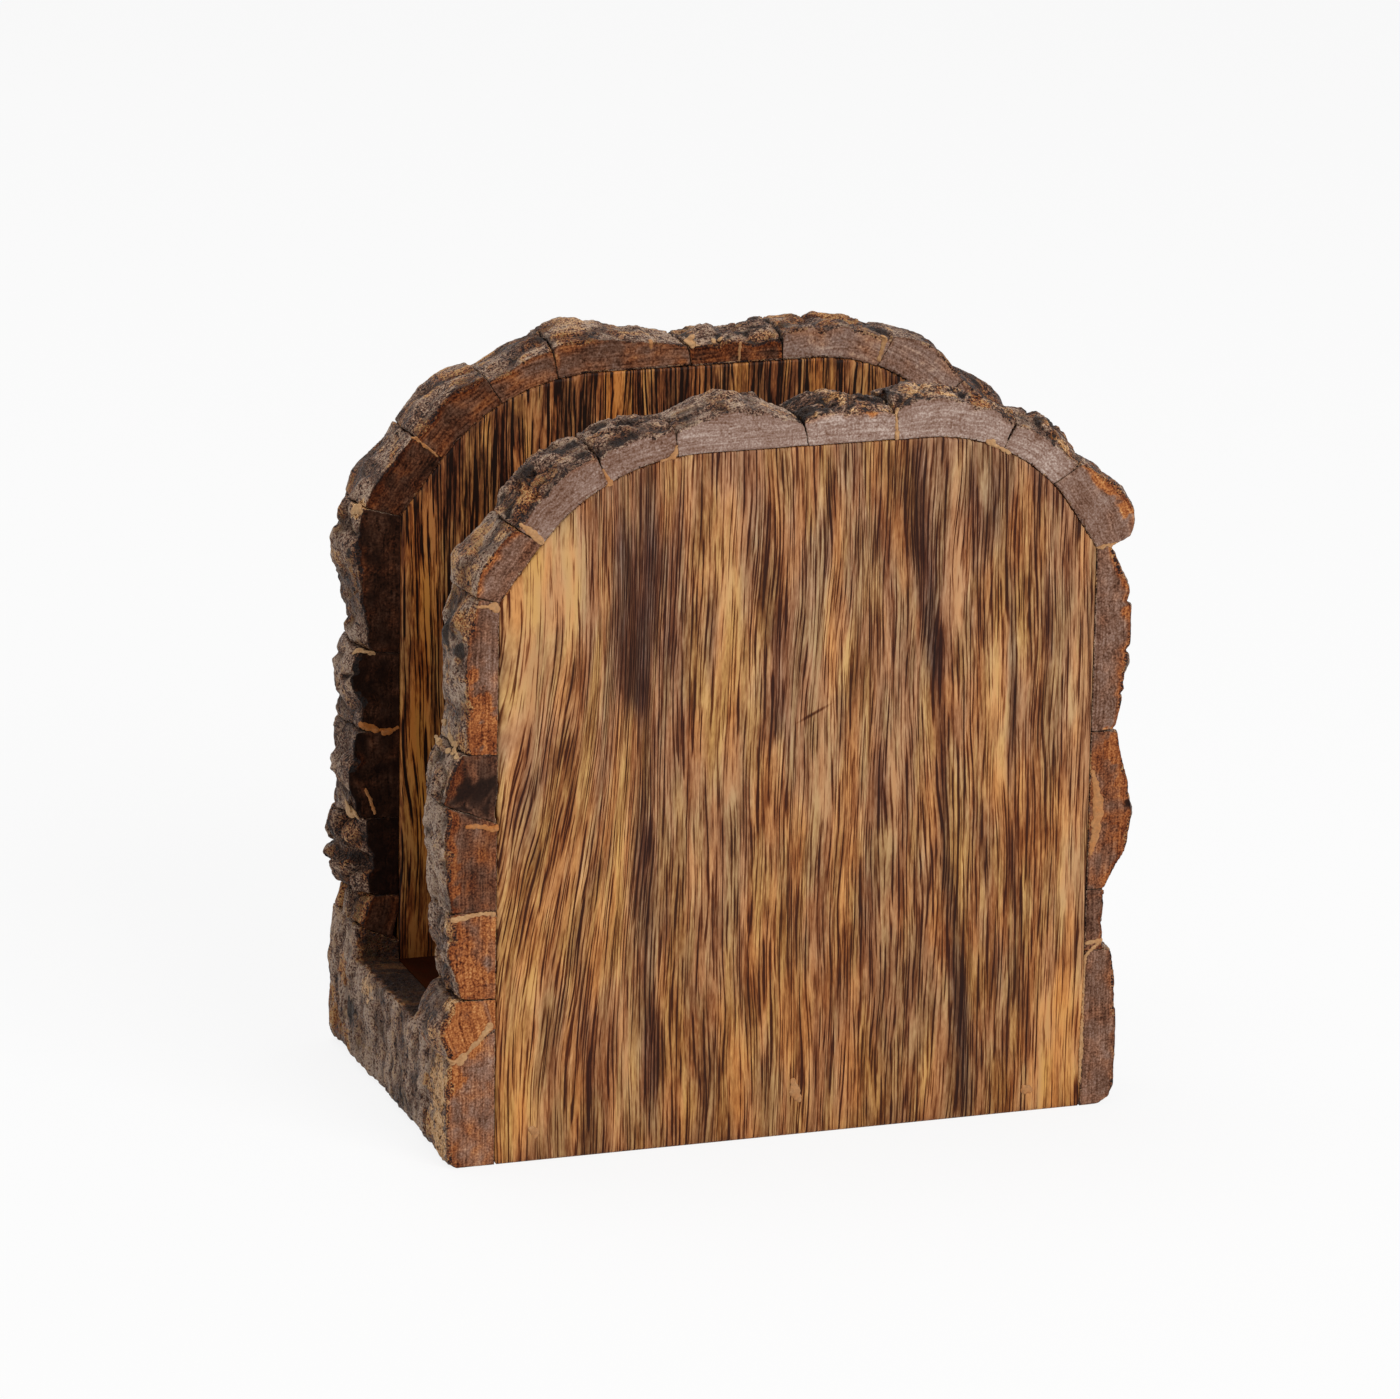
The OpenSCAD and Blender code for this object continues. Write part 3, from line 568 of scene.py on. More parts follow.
def add(tree, kind, links=None, **settings):
    """Adds a node with its settings and links."""
    node = tree.nodes.new("ShaderNode" + kind)
    for name, value in settings.items():
        setattr(node, name, value)
    wire(node, links or {})
    return node


def start_material(name):
    """A material with an empty tree but for its shader and output."""
    material = bpy.data.materials.new(name)
    material.use_nodes = True
    tree = material.node_tree
    tree.nodes.clear()
    shader = add(tree, "BsdfPrincipled")
    add(tree, "OutputMaterial", {"Surface": shader})
    return material, tree, shader


def layer_of(tree, vector, turn, sizes, roughness):
    """Noise with swellings of these sizes in mm. Each turn takes it from another place."""
    place = add(tree, "Mapping", {"Vector": vector, "Location": (turn * 3.1, turn * 1.7, turn * 0.6),
                                  "Scale": [1 / size for size in sizes]})
    return add(tree, "TexNoise", {"Vector": place, "Scale": 1.0, "Detail": 2.0, "Roughness": roughness})


def oiled_wood(name, pitch, ground, contrast, gloss, cool, amber, deepest, scratch=None):
    """Oiled hardwood, sawn along the grain and sanded: dark pores run up it as fine tapered strokes and
    crowd together into streaks, over a ground that drifts between tan and brown with a low sheen."""
    material, tree, shader = start_material(name)
    colours = bpy.context.scene.holder_colours
    where = add(tree, "TexCoord").outputs["Object"]
    mm = add(tree, "VectorMath", {0: where, "Scale": 1 / MM}, operation="SCALE")
    drawn, gold, aside = (add(tree, "Attribute", attribute_name=title).outputs["Fac"]
                          for title in ("streak", "gold", "aside"))
    part = add(tree, "SeparateXYZ", {0: mm}).outputs
    across = add(tree, "Math", {0: part["X"], 1: aside}, operation="SUBTRACT")
    grain = add(tree, "CombineXYZ", {0: across, 1: part["Y"], 2: part["Z"]})

    # Layers of grain: width, depth and length of a swelling in mm, and how much it darkens or lightens.
    layer = {}
    value = add(tree, "Math", {0: gold, 1: -0.32, 2: ground}, operation="MULTIPLY_ADD")
    for turn, (title, sizes, share) in enumerate((
            ("fleck", (0.26, 0.6, 1.6), 0.36), ("short", (0.55, 0.9, 6.5), 0.36),
            ("long", (pitch, 1.4, 12.0), 0.44), ("band", (2.3, 3.0, 14.0), 0.38),
            ("zone", (5.5, 8.0, 24.0), 0.34), ("tone", (11.0, 14.0, 44.0), 0.22),
            ("pore", (pitch * 0.9, 1.2, 17.0), 0.0), ("dash", (0.6, 0.9, 11.0), 0.0),
            ("red", (2.6, 3.5, 18.0), 0.0), ("warm", (6.5, 8.0, 30.0), 0.0))):
        layer[title] = layer_of(tree, grain, turn, sizes, 0.5)
        swing = add(tree, "Math", {0: layer[title], 1: 0.5}, operation="SUBTRACT")
        value = add(tree, "Math", {0: swing, 1: share * contrast, 2: value}, operation="MULTIPLY_ADD")
    crowd = add(tree, "Math", {0: gold, 1: -0.7, 2: drawn}, operation="MULTIPLY_ADD")
    # The pores stand side by side like the teeth of a comb, 0.3 mm wide and 0.6 to 1.1 mm apart. That is a
    # little wider than they are, so that they show. Each runs for as long as its layer's swelling lasts.
    line = {}
    for title, apart, share in (("pore", pitch * 0.9, 0.46), ("dash", 0.62, 0.36)):
        place = add(tree, "Mapping", {"Vector": grain, "Scale": (WAVE / apart, 0.10, 0.026)})
        comb = add(tree, "TexWave", {"Vector": place, "Scale": 1.0, "Distortion": 10.0, "Detail": 1.0,
                                     "Detail Scale": 1.0})
        tooth = add(tree, "MapRange", {"Value": comb.outputs["Fac"], "From Min": 0.60, "From Max": 0.90},
                    interpolation_type="SMOOTHSTEP")
        near = add(tree, "Math", {0: crowd, 1: 0.09, 2: layer[title]}, operation="MULTIPLY_ADD")
        lasts = add(tree, "MapRange", {"Value": near, "From Min": 0.45, "From Max": 0.57},
                    interpolation_type="SMOOTHSTEP")
        line[title] = add(tree, "Math", {0: tooth, 1: lasts}, operation="MULTIPLY")
        # Where many pores lie close together the wood between them is dark too.
        clump = add(tree, "MapRange", {"Value": near, "From Min": 0.55, "From Max": 0.67,
                                       "To Max": 0.30 * share * contrast}, interpolation_type="SMOOTHSTEP")
        value = add(tree, "Math", {0: clump, 1: value}, operation="ADD")
        value = add(tree, "Math", {0: line[title], 1: share * contrast, 2: value}, operation="MULTIPLY_ADD")
    value = add(tree, "Math", {0: drawn, 1: 0.06, 2: value}, operation="MULTIPLY_ADD")
    if scratch:
        x, z, half_length, half_width, lean = scratch
        place = add(tree, "Mapping", {
            "Vector": mm, "Location": (x, FRONT_Y, z), "Rotation": (0, -lean, 0),
            "Scale": (half_length, SCRATCH_DEPTH, half_width)}, vector_type="TEXTURE")
        dent = add(tree, "TexGradient", {"Vector": place}, gradient_type="SPHERICAL")
        value = add(tree, "Math", {0: dent.outputs["Fac"], 1: 0.6, 2: value}, operation="MULTIPLY_ADD")

    colour = add(tree, "ValToRGB", {0: value})
    stain = colour.color_ramp
    stain.elements[0].position, stain.elements[0].color = 0.12, linear("#D9AF80")
    stain.elements[1].position, stain.elements[1].color = 1.0, linear(deepest)
    for spot, code in ((0.30, colours.wood_light), (0.54, colours.wood_brown), (0.80, colours.wood_line)):
        stain.elements.new(spot).color = code
    # Tints that drift over it: what brings each, where it starts and is full, its strength and colour. The
    # wood turns rosy or green and warm or cool by zones, warmer to its foot and cooler to its top, golden in
    # the pale zones, bluer in the dark streaks and amber where it is pale.
    for source, low, high, most, code in (
            (layer["red"], 0.46, 0.62, 0.5, "#FFDCC8"), (layer["red"], 0.52, 0.38, 0.35, "#F2FFE0"),
            (layer["warm"], 0.46, 0.62, 0.6, "#FFF3C4"), (layer["warm"], 0.52, 0.38, 0.6, "#D6DCEE"),
            (part["Z"], 85.0, 5.0, 0.6, "#FFEFD2"), (part["Z"], 55.0, 125.0, 0.6, "#F4F2FF"),
            (gold, 0.0, 1.0, 0.6, "#FFEBBC"), (drawn, 0.1, 1.0, cool, "#B8C0E8"),
            (value, 0.70, 0.45, amber, "#FFD27A")):
        amount = add(tree, "MapRange", {"Value": source, "From Min": low, "From Max": high, "To Max": most})
        colour = add(tree, "Mix", {0: amount, 6: colour, 7: linear(code)},
                     data_type="RGBA", blend_type="MULTIPLY")
    dull = add(tree, "MapRange", {
        "Value": value, "From Min": 0.2, "From Max": 0.9, "To Min": 0.46, "To Max": 0.62})
    height = add(tree, "Math", {0: line["dash"], 1: 0.4, 2: line["pore"]}, operation="MULTIPLY_ADD")
    bump = add(tree, "Bump", {"Strength": 0.35, "Distance": 0.00006, "Height": height}, invert=True)
    wire(shader, {"Base Color": colour, "Specular IOR Level": gloss, "Roughness": dull, "Normal": bump})
    return material


def bark_material(name):
    """Bark. Sawn, sanded and oiled across a chip it shows a satin, speckled face with fine layers that
    follow the board's edge. Left rough outside it is weathered, gritty and matt, with rust and soot in it,
    and shade painted into its furrows."""
    face = BARKS[name]
    material, tree, shader = start_material(name)
    where = add(tree, "TexCoord").outputs["Object"]
    mm = add(tree, "VectorMath", {0: where, "Scale": 1 / MM}, operation="SCALE")
    way = add(tree, "Attribute", attribute_name="way").outputs["Vector"]
    mark = {title: add(tree, "Attribute", attribute_name=title).outputs["Fac"] for title in MARKS}

    # Layers: where they run, size of a swelling in mm, and how much it lightens or darkens. The specks are
    # drawn coarser than the bark's own cells, so that they show.
    layer = {}
    swing = 0.0
    for turn, (title, vector, sizes, share) in enumerate((
            ("speck", mm, [face["specks"][0]] * 3, face["specks"][1]), ("grit", mm, [face["grit"]] * 3, 1.0),
            ("mottle", mm, [2.6] * 3, 0.7), ("pit", mm, [1.0] * 3, 0.0), ("layers", way, *face["layers"]))):
        layer[title] = layer_of(tree, vector, turn, sizes, 0.55)
        part = add(tree, "Math", {0: layer[title], 1: 0.5}, operation="SUBTRACT")
        swing = add(tree, "Math", {0: part, 1: share, 2: swing}, operation="MULTIPLY_ADD")
    contrast = add(tree, "Math", {0: mark["rust"], 1: face["rusty"], 2: face["contrast"]},
                   operation="MULTIPLY_ADD")
    value = add(tree, "Math", {0: swing, 1: contrast, 2: mark["pale"]}, operation="MULTIPLY_ADD")
    pit = add(tree, "MapRange", {"Value": layer["pit"], "From Min": 0.58, "From Max": 0.68},
              interpolation_type="SMOOTHSTEP")
    value = add(tree, "Math", {0: pit, 1: face["pitted"], 2: value}, operation="MULTIPLY_ADD")

    ramp = {}
    for title, stops in (("plain", ("#170B06", "#492C1E", "#745342", *face["dusty"])),
                         ("rust", ("#240C05", "#652E15", "#9C572B", "#C47E42", "#DFA969")),
                         ("ochre", ("#4A2A14", "#8C592B", "#C48B50", "#E6AE72", "#FFD09A"))):
        ramp[title] = add(tree, "ValToRGB", {0: value})
        elements = ramp[title].color_ramp.elements
        elements[0].color, elements[1].color = linear(stops[0]), linear(stops[-1])
        for k in (1, 2, 3):
            elements.new(k / 4).color = linear(stops[k])
    # Rust, ochre and the char mark, which is soot and painted shade, lie over that with torn edges: where
    # each starts and is full, and its strength.
    torn = add(tree, "Math", {0: swing, 1: face["torn"]}, operation="MULTIPLY")
    colour = ramp["plain"]
    for title, low, high, most, over in (
            ("rust", 0.15, 0.85, 0.9, ramp["rust"]), ("ochre", 0.3, 0.8, 0.9, ramp["ochre"]),
            ("char_and_shade", 0.1, 0.9, 0.93, linear("#160A06"))):
        amount = add(tree, "Math", {0: mark[title], 1: torn}, operation="ADD")
        amount = add(tree, "MapRange", {"Value": amount, "From Min": low, "From Max": high, "To Max": most},
                     interpolation_type="SMOOTHSTEP")
        colour = add(tree, "Mix", {0: amount, 6: colour, 7: over}, data_type="RGBA")
    smoothest, roughest = face["roughness"]
    dull = add(tree, "MapRange", {
        "Value": layer["grit"], "From Min": 0.3, "From Max": 0.7, "To Min": smoothest, "To Max": roughest})
    strength, depth = face["bumps"]
    bump = add(tree, "Bump", {"Strength": strength, "Distance": depth, "Height": value})
    wire(shader, {"Base Color": colour, "Specular IOR Level": face["gloss"], "Roughness": dull,
                  "Normal": bump})
    return material


def putty_material():
    """Wood putty, pressed in by hand and left to dry: matt and slightly grainy, from cream to amber."""
    material, tree, shader = start_material("dried_wood_putty")
    where = add(tree, "TexCoord").outputs["Object"]
    grit = add(tree, "TexNoise", {"Vector": where, "Scale": 1600.0, "Detail": 3.0, "Roughness": 0.6})
    tone = add(tree, "Attribute", attribute_name="tone").outputs["Fac"]
    cream = tuple(bpy.context.scene.holder_colours.putty)
    body = add(tree, "Mix", {0: tone, 6: cream, 7: linear("#B8660F")}, data_type="RGBA")
    shade = add(tree, "MapRange", {
        "Value": grit, "From Min": 0.3, "From Max": 0.7, "To Min": 0.55, "To Max": 0.0})
    colour = add(tree, "Mix", {0: shade, 6: body, 7: linear("#7A5530")}, data_type="RGBA")
    bump = add(tree, "Bump", {"Strength": 0.5, "Distance": 0.0001, "Height": grit})
    wire(shader, {"Base Color": colour, "Roughness": 0.75, "Normal": bump})
    return material


def steel_material():
    """Drawn steel wire, bright under the putty: fine draw marks along the nail spread its gloss."""
    material, tree, shader = start_material("drawn_steel_wire")
    where = add(tree, "TexCoord").outputs["Object"]
    place = add(tree, "Mapping", {"Vector": where, "Scale": (6000.0, 120.0, 6000.0)})
    marks = add(tree, "TexNoise", {"Vector": place, "Scale": 1.0, "Detail": 2.0})
    rough = add(tree, "MapRange", {"Value": marks, "To Min": 0.25, "To Max": 0.45})
    wire(shader, {"Base Color": linear("#B4B2AE"), "Metallic": 1.0, "Roughness": rough})
    return material


# Bark

def chip_relief(s, y, form, index, seed):
    """How far the bark stands out at each point of a chip's skin, in mm, and how much painted shade its
    furrows and cracks get.
    """
    lump, lump_h, plate, furrow_d, crack, crack_d = FORMS[form][:6]
    # Plates with furrows between them, and finer cracks, on the chip's skin laid out flat. Both are bent
    # by up to 2.2 mm over each 6 mm, so that no furrow runs straight. The third place only sets the chips
    # apart from each other.
    q = np.stack([s, y, np.full_like(s, 3.7 * index)], 1)
    bend = np.stack([wave(q / 6.0, seed + 5, 2), wave(q / 6.0 + 30, seed + 6, 2), 0 * s], 1) * 2.2
    near, second, tag = plates((q + bend) / (*plate, 9.0), seed + 7)
    furrow = 1 - ease(second - near, 0.0, 0.34)
    crazed = plates((q + bend * 0.5) / crack, seed + 8)
    cracked = ease(wave(q / 5.0 + 60, seed + 9, 2), -0.25, 0.25)
    crevice = (1 - ease(crazed[1] - crazed[0], 0.0, 0.16)) * cracked
    lift = lump_h * wave(q / lump, seed + 10, 2) - furrow_d * furrow ** 1.4
    lift = lift + furrow_d * (0.30 + 0.25 * (tag - 0.5))
    return lift - crack_d * crevice, np.maximum(furrow, crevice * 0.8)


def chip_marks(piece, look, s, r, y, end, cut, furrow, hole, seed):
    """Paints the chip's paleness, rust, char with painted shade, and ochre on its vertices, and returns what
    is still sawn.
    """
    _, cut_pale, cut_rust, cut_char_and_shade, rim_rust, bark_pale, bark_rust, bark_char, bark_ochre = look
    co = points_of(piece)
    # Noises over the skin laid out flat, with swellings of 5 mm down to 1.3 mm. What is added to a place
    # only keeps them apart.
    q = np.stack([s, r, y], 1)
    drift = wave(q / (5.0, 3.0, 5.0), seed + 1, 2)
    patch = wave(q / (4.2, 3.4, 4.2) + 40, seed + 2, 3)
    blot = wave(q / (3.0, 3.0, 3.0) + 80, seed + 3, 3)
    ragged = wave(q / 1.3 + 120, seed + 4, 2)
    # How far out each point is, from 0 at the board to 1 at the highest cut point near it.
    stretch = 1.2
    along = s - s.min()
    cell = np.clip((along / stretch).astype(int), 0, None)
    tall = np.zeros(cell.max() + 1)
    np.maximum.at(tall, cell[cut], r[cut])
    rim = r / np.maximum(np.interp(along, (np.arange(len(tall)) + 0.5) * stretch, tall), 1.0)
    worn = rim + 0.12 * patch
    # Each mark has its share from the chip's look. The noises make it patchy, and the rim, the furrows and
    # the
    #     ends of the chip add to it; in the furrows and cracks that is painted shade. A chip's rear face gets
    #     less
    #     char than its front face: on the back chips at the left the front face looks into the slot, and its
    #         char
    #     there is partly painted shade.
    rear_share = np.where(y > y.mean(), 0.4, 1.0)
    on_cut = {
        "pale": cut_pale + 0.10 * drift - 0.10 * ease(rim, 0.8, 1.0),
        "rust": cut_rust * (1 + 0.7 * patch) + rim_rust * ease(worn, 0.72, 0.98),
        "char_and_shade": cut_char_and_shade * (1 + 0.5 * blot) * rear_share + 0.25 * ease(rim, 0.93, 1.02),
        "ochre": 0 * s,
    }
    # On the bark the furrows and cracks are painted in shade: less pale and with more char.
    on_bark = {
        "pale": bark_pale + 0.25 + 0.28 * drift - 0.26 * furrow,
        "rust": 0.15 + bark_rust * 2.6 * ease(patch, -0.1, 0.5),
        "char_and_shade": 0.40 * furrow + bark_char * 1.6 * ease(blot, 0.05, 0.6),
        "ochre": bark_ochre * 2.5 * ease(-blot, 0.12, 0.5),
    }
    made = {mark: np.where(cut, on_cut[mark], on_bark[mark]) for mark in MARKS}
    made["char_and_shade"] = made["char_and_shade"] + 0.4 * ease(end, 0.9, 0.4)
    for mark, rows in SPOTS.items():
        for *place, radius, weight in rows:
            far = np.linalg.norm(co - place, axis=1)
            # A spot on a sawn face stays on it, and one on the bark stays off the sawn faces.
            spot_cut = min(abs(place[1] - y.min()), abs(place[1] - y.max())) < 0.7
            if far.min() < radius * 2:
                spread = ease(far / radius - 0.35 * blot - 0.45 * ragged, 1.15, 0.6)
                made[mark] = made[mark] + weight * spread * (cut == spot_cut)
    if look[0] == "ridged":
        # The top of a base piece is sawn level with the floor of the slot and is painted as dark and brown as
        # that floor: partly its own dark wood, partly painted shade of the slot.
        level = ease(co[:, 2], 17.8, 19.0) * ease(r + 0.8 * ragged, 8.3, 7.0) * (np.abs(y) < BACK_Y)
        for mark, shift in (("char_and_shade", 0.60), ("rust", 1.2), ("pale", -0.24), ("ochre", -1.0)):
            made[mark] = made[mark] + shift * level
    bare = np.clip(made["ochre"], 0, 1)
    made["pale"] = made["pale"] + 0.05 * bare
    # The gap between the two chips is painted black as shade.
    made["char_and_shade"] = made["char_and_shade"] * (1 - 0.85 * bare) + 1.5 * hole
    for mark, values in made.items():
        write_mark(piece, mark, np.clip(values, 0, 1))
    return cut & (worn < 0.97)


def height_at(s, y, r):
    """How far off the board's edge the bark's skin stands at each point, by cells of 1.5 by 4 mm."""
    cell = np.stack([s // 1.5, y // 4.0], 1).astype(int)
    cell -= cell.min(0)
    tall = np.zeros(cell.max(0) + 1)
    np.maximum.at(tall, (cell[:, 0], cell[:, 1]), r)
    return tall[cell[:, 0], cell[:, 1]]


def way_to_neighbours(node, co, s, ends):
    """The way from each point near the chip's ends to the nearest neighbour, and how far that is, in mm."""
    side = node.split("_")[0]
    ring = ["left_base_bark"] + [n for n in LOOKS if n.startswith(side + "_bark")] + ["right_base_bark"]
    way, far = np.zeros_like(co), np.full(len(co), JOINT_REACH * 2)
    if node not in ring[1:-1]:
        return way, far
    at = ring.index(node)
    for other in (ring[at - 1], ring[at + 1]):
        mesh = frame["nodes"][other].data
        corners = [Vector(v.co) / MM for v in mesh.vertices]
        tree = BVHTree.FromPolygons(corners, [tuple(f.vertices) for f in mesh.polygons])
        # Two chips go half of the way each, and one beside a base piece, which stays, goes all of it.
        share = CLOSE_UP if other.count("base") else CLOSE_UP / 2
        for i in np.nonzero((s < ends[0] + JOINT_REACH) | (s > ends[1] - JOINT_REACH))[0]:
            spot, _, _, gap = tree.find_nearest(co[i], JOINT_REACH)
            if spot is not None and gap < far[i]:
                far[i] = gap
                way[i] = (np.array(spot) - co[i]) * share
    return way, far


def bark_chip(node, index, edge, grain):
    """Turns a plain CAD chip into bark: fine mesh, softened facets, furrowed plates, cracks and fibres."""
    sizes = bpy.context.scene.holder_sizes
    look = LOOKS[node]
    grit_h, fibre_h, fall = FORMS[look[0]][6:]
    seed = 101 + 17 * index
    piece = copy_of(node, node + "_chip")
    remesh(piece, grain)
    plain = points_of(piece)
    low, high = (corner.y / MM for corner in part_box(node))
    # Points nearer to a plane than half a mesh cell lie on it.
    reach = grain / MM * 0.5
    faces = [np.abs(plain[:, 1] - y) < reach for y in (low, high)]
    cut = faces[0] | faces[1]
    s, r, out = locate(edge, plain[:, [0, 2]])
    under = r < GLUE_LINE + reach * 1.3
    finish_with(piece, "SMOOTH", factor=0.5, iterations=SOFTENING)
    # Only the outer skin is softened: the sawn faces and the joints keep their edges.
    crown = ease(height_at(s, plain[:, 1], r) - r, 2.2, 0.8)
    co = plain + (points_of(piece) - plain) * crown[:, None]
    co[under] = plain[under]
    co[under, 0] -= out[under, 0] * sizes.glue_gap / MM
    co[under, 2] -= out[under, 1] * sizes.glue_gap / MM
    co[:, 2] = np.where(plain[:, 2] < reach, plain[:, 2], co[:, 2])
    # Every second chip lies a hair deeper, so that neighbours meet in a fine step and not in a gap.
    step = CHIP_STEP * (index % 2) if index > 1 else 0.0
    for side, y in zip(faces, (low + step, high - step)):
        co[side, 1] = y

    s, r, out = locate(edge, co[:, [0, 2]])
    y = co[:, 1]
    lift, dark = chip_relief(s, y, look[0], index, seed)
    first, last = s[under].min(), s[under].max()
    way, end = way_to_neighbours(node, plain, s, (first, last))
    # The skin falls away within 1.6 mm of a neighbour, so that the joint shows. The relief fades out
    # towards the board and to about half of it at the sawn faces.
    lift = lift - fall * (1 - ease(end, 0.4, 1.6)) * np.where(cut, 0.45, 1.0)
    weight = ease(r, 0.6, 4.0) * sizes.relief
    skin = ease(np.minimum(y - low, high - y), 0.0, 1.4)
    lift = lift * (0.55 + 0.45 * skin)
    shift = out * (lift * weight)[:, None]
    shift = shift + (way * ease(end, JOINT_REACH, 2.4)[:, None])[:, [0, 2]]
    keep_foot = np.where(plain[:, 2] < reach, 0.0, 1.0)
    hole = 0 * s
    for x, z, radius in HOLES if low < FRONT_Y + 1 else ():
        off = np.hypot(plain[:, 0] - x, plain[:, 2] - z) / radius
        hole = np.maximum(hole, ease(off, 1.4, 0.6) * faces[0])
    co[:, 1] += HOLE_DEPTH * hole
    co[:, 0] += shift[:, 0]
    co[:, 2] += shift[:, 1] * keep_foot
    place_points(piece, co)

    # Grit and fibres are the finest part, and stand square to the skin.
    fine = grit_h * wave(co / 1.2, seed + 11, 2)
    fine = fine + fibre_h * wave(np.stack([s / 5.0, r / 0.9, y / 0.9], 1), seed + 12, 2)
    fine = fine * skin * ease(r, 1.0, 3.0)
    co = co + normals_of(piece) * fine[:, None] * sizes.relief
    co[:, 2] = np.maximum(co[:, 2], 0.0)
    place_points(piece, co)

    cut = chip_marks(piece, look, s, r, y, end, cut, dark, hole, seed)
    write_way(piece, s, r, y)
    # A face is sawn only where all of its corners are.
    loops = np.empty(len(piece.data.loops), int)
    piece.data.loops.foreach_get("vertex_index", loops)
    starts = np.empty(len(piece.data.polygons), int)
    piece.data.polygons.foreach_get("loop_start", starts)
    rough = 1 - np.minimum.reduceat(cut[loops].astype(int), starts)
    piece.data.polygons.foreach_set("material_index", rough)
    return piece


# Boards

def figure(x, y, z, rows, seed):
    """How strongly the listed streaks show at each point. Their ends fade out over 11 mm."""
    total = np.zeros_like(x)
    stray = 0.9 * wave(np.stack([x / 8, y / 9, z / 30], 1), seed, 2)
    for x0, z0, x1, z1, half, weight in rows:
        off = (x + stray - x0 - (z - z0) * (x1 - x0) / (z1 - z0)) / half
        total += weight * np.exp(-off ** 2) * ease(z, z0 - 5, z0 + 6) * ease(z, z1 + 5, z1 - 6)
    return total


def board(node, edge, dark_rows, gold_rows, lean, seed):
    """A board cut from a block along its outline, with eased edges and its grain's flow on its vertices.
    Lean is how far in mm the grain leans over at its left."""
    low, high = (np.array(corner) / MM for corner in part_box(node))
    bpy.ops.object.select_all(action="DESELECT")
    bpy.ops.mesh.primitive_cube_add(size=1.0, location=(low + high) / 2 * MM, scale=(high - low) * MM)
    piece = bpy.context.active_object
    piece.name = node + "_oiled"
    bpy.ops.object.transform_apply(location=True, rotation=False, scale=True)
    bpy.ops.object.mode_set(mode="EDIT")
    for a, b in zip(edge, edge[1:]):
        way = (b - a) / np.linalg.norm(b - a)
        if abs(way[0]) > 0.01:
            bpy.ops.mesh.select_all(action="SELECT")
            bpy.ops.mesh.bisect(plane_co=(a[0] * MM, 0, a[1] * MM), plane_no=(-way[1], 0, way[0]),
                                use_fill=True, clear_outer=True)
    bpy.ops.object.mode_set(mode="OBJECT")
    # The remesh rounds the edges, and the faces go back to their planes.
    remesh(piece, BOARD_GRAIN)
    co = points_of(piece)
    for axis, y in ((1, low[1]), (1, high[1]), (2, 0.0)):
        co[:, axis] = np.where(np.abs(co[:, axis] - y) < 0.3, y, co[:, axis])
    place_points(piece, co)
    x, y, z = co.T
    # The grain wanders sideways by 2 mm over some 90 mm of its length, and by 0.7 mm over shorter ways.
    stray = 1.9 * wave(co / (24, 26, 90), seed, 1) + 0.7 * wave(co / (7, 8, 36), seed + 1, 2)
    stray = stray + lean * ease(z, 14, 108) * ease(np.abs(x + 48), 24, 4)
    write_mark(piece, "aside", stray)
    write_mark(piece, "streak", figure(x, y, z, dark_rows, seed + 2))
    write_mark(piece, "gold", figure(x, y, z, gold_rows, seed + 3))
    return piece


# Operators

class HOLDER_OT_boards(bpy.types.Operator):
    """Oils the two boards and the block between them"""
    bl_idname = "holder.boards"
    bl_label = "Boards and base"

    def execute(self, context):
        edge = board_edge()
        for node, dark_rows, gold_rows, lean, seed in (
                ("front_board", FRONT_STREAKS, FRONT_GOLD, 12.0, 11),
                ("back_board", BACK_STREAKS, BACK_GOLD, 0.0, 23)):
            piece = board(node, edge, dark_rows, gold_rows, lean, seed)
            dress(piece, [oiled_wood(**WOODS[node])], node)
        paint("base_block", oiled_wood(**WOODS["base_block"]))
        return {"FINISHED"}


class HOLDER_OT_bark(bpy.types.Operator):
    """Makes every bark chip round the boards and on the ends of the base"""
    bl_idname = "holder.bark"
    bl_label = "Bark"

    def execute(self, context):
        edge = board_edge()
        materials = [bark_material(name) for name in BARKS]
        for index, node in enumerate(LOOKS):
            # The long base pieces take a mesh a fifth coarser.
            grain = context.scene.holder_sizes.bark_grain * (1.2 if node.count("base") else 1.0)
            dress(bark_chip(node, index, edge, grain), materials, node)
        return {"FINISHED"}


def skin_points():
    """The vertices of the dressed boards and bark in mm, with their normals."""
    places, normals = [], []
    for obj in bpy.context.scene.objects:
        if obj.name.endswith(("_chip", "_oiled")):
            places.append(points_of(obj))
            normals.append(normals_of(obj))
    return np.concatenate(places), np.concatenate(normals)


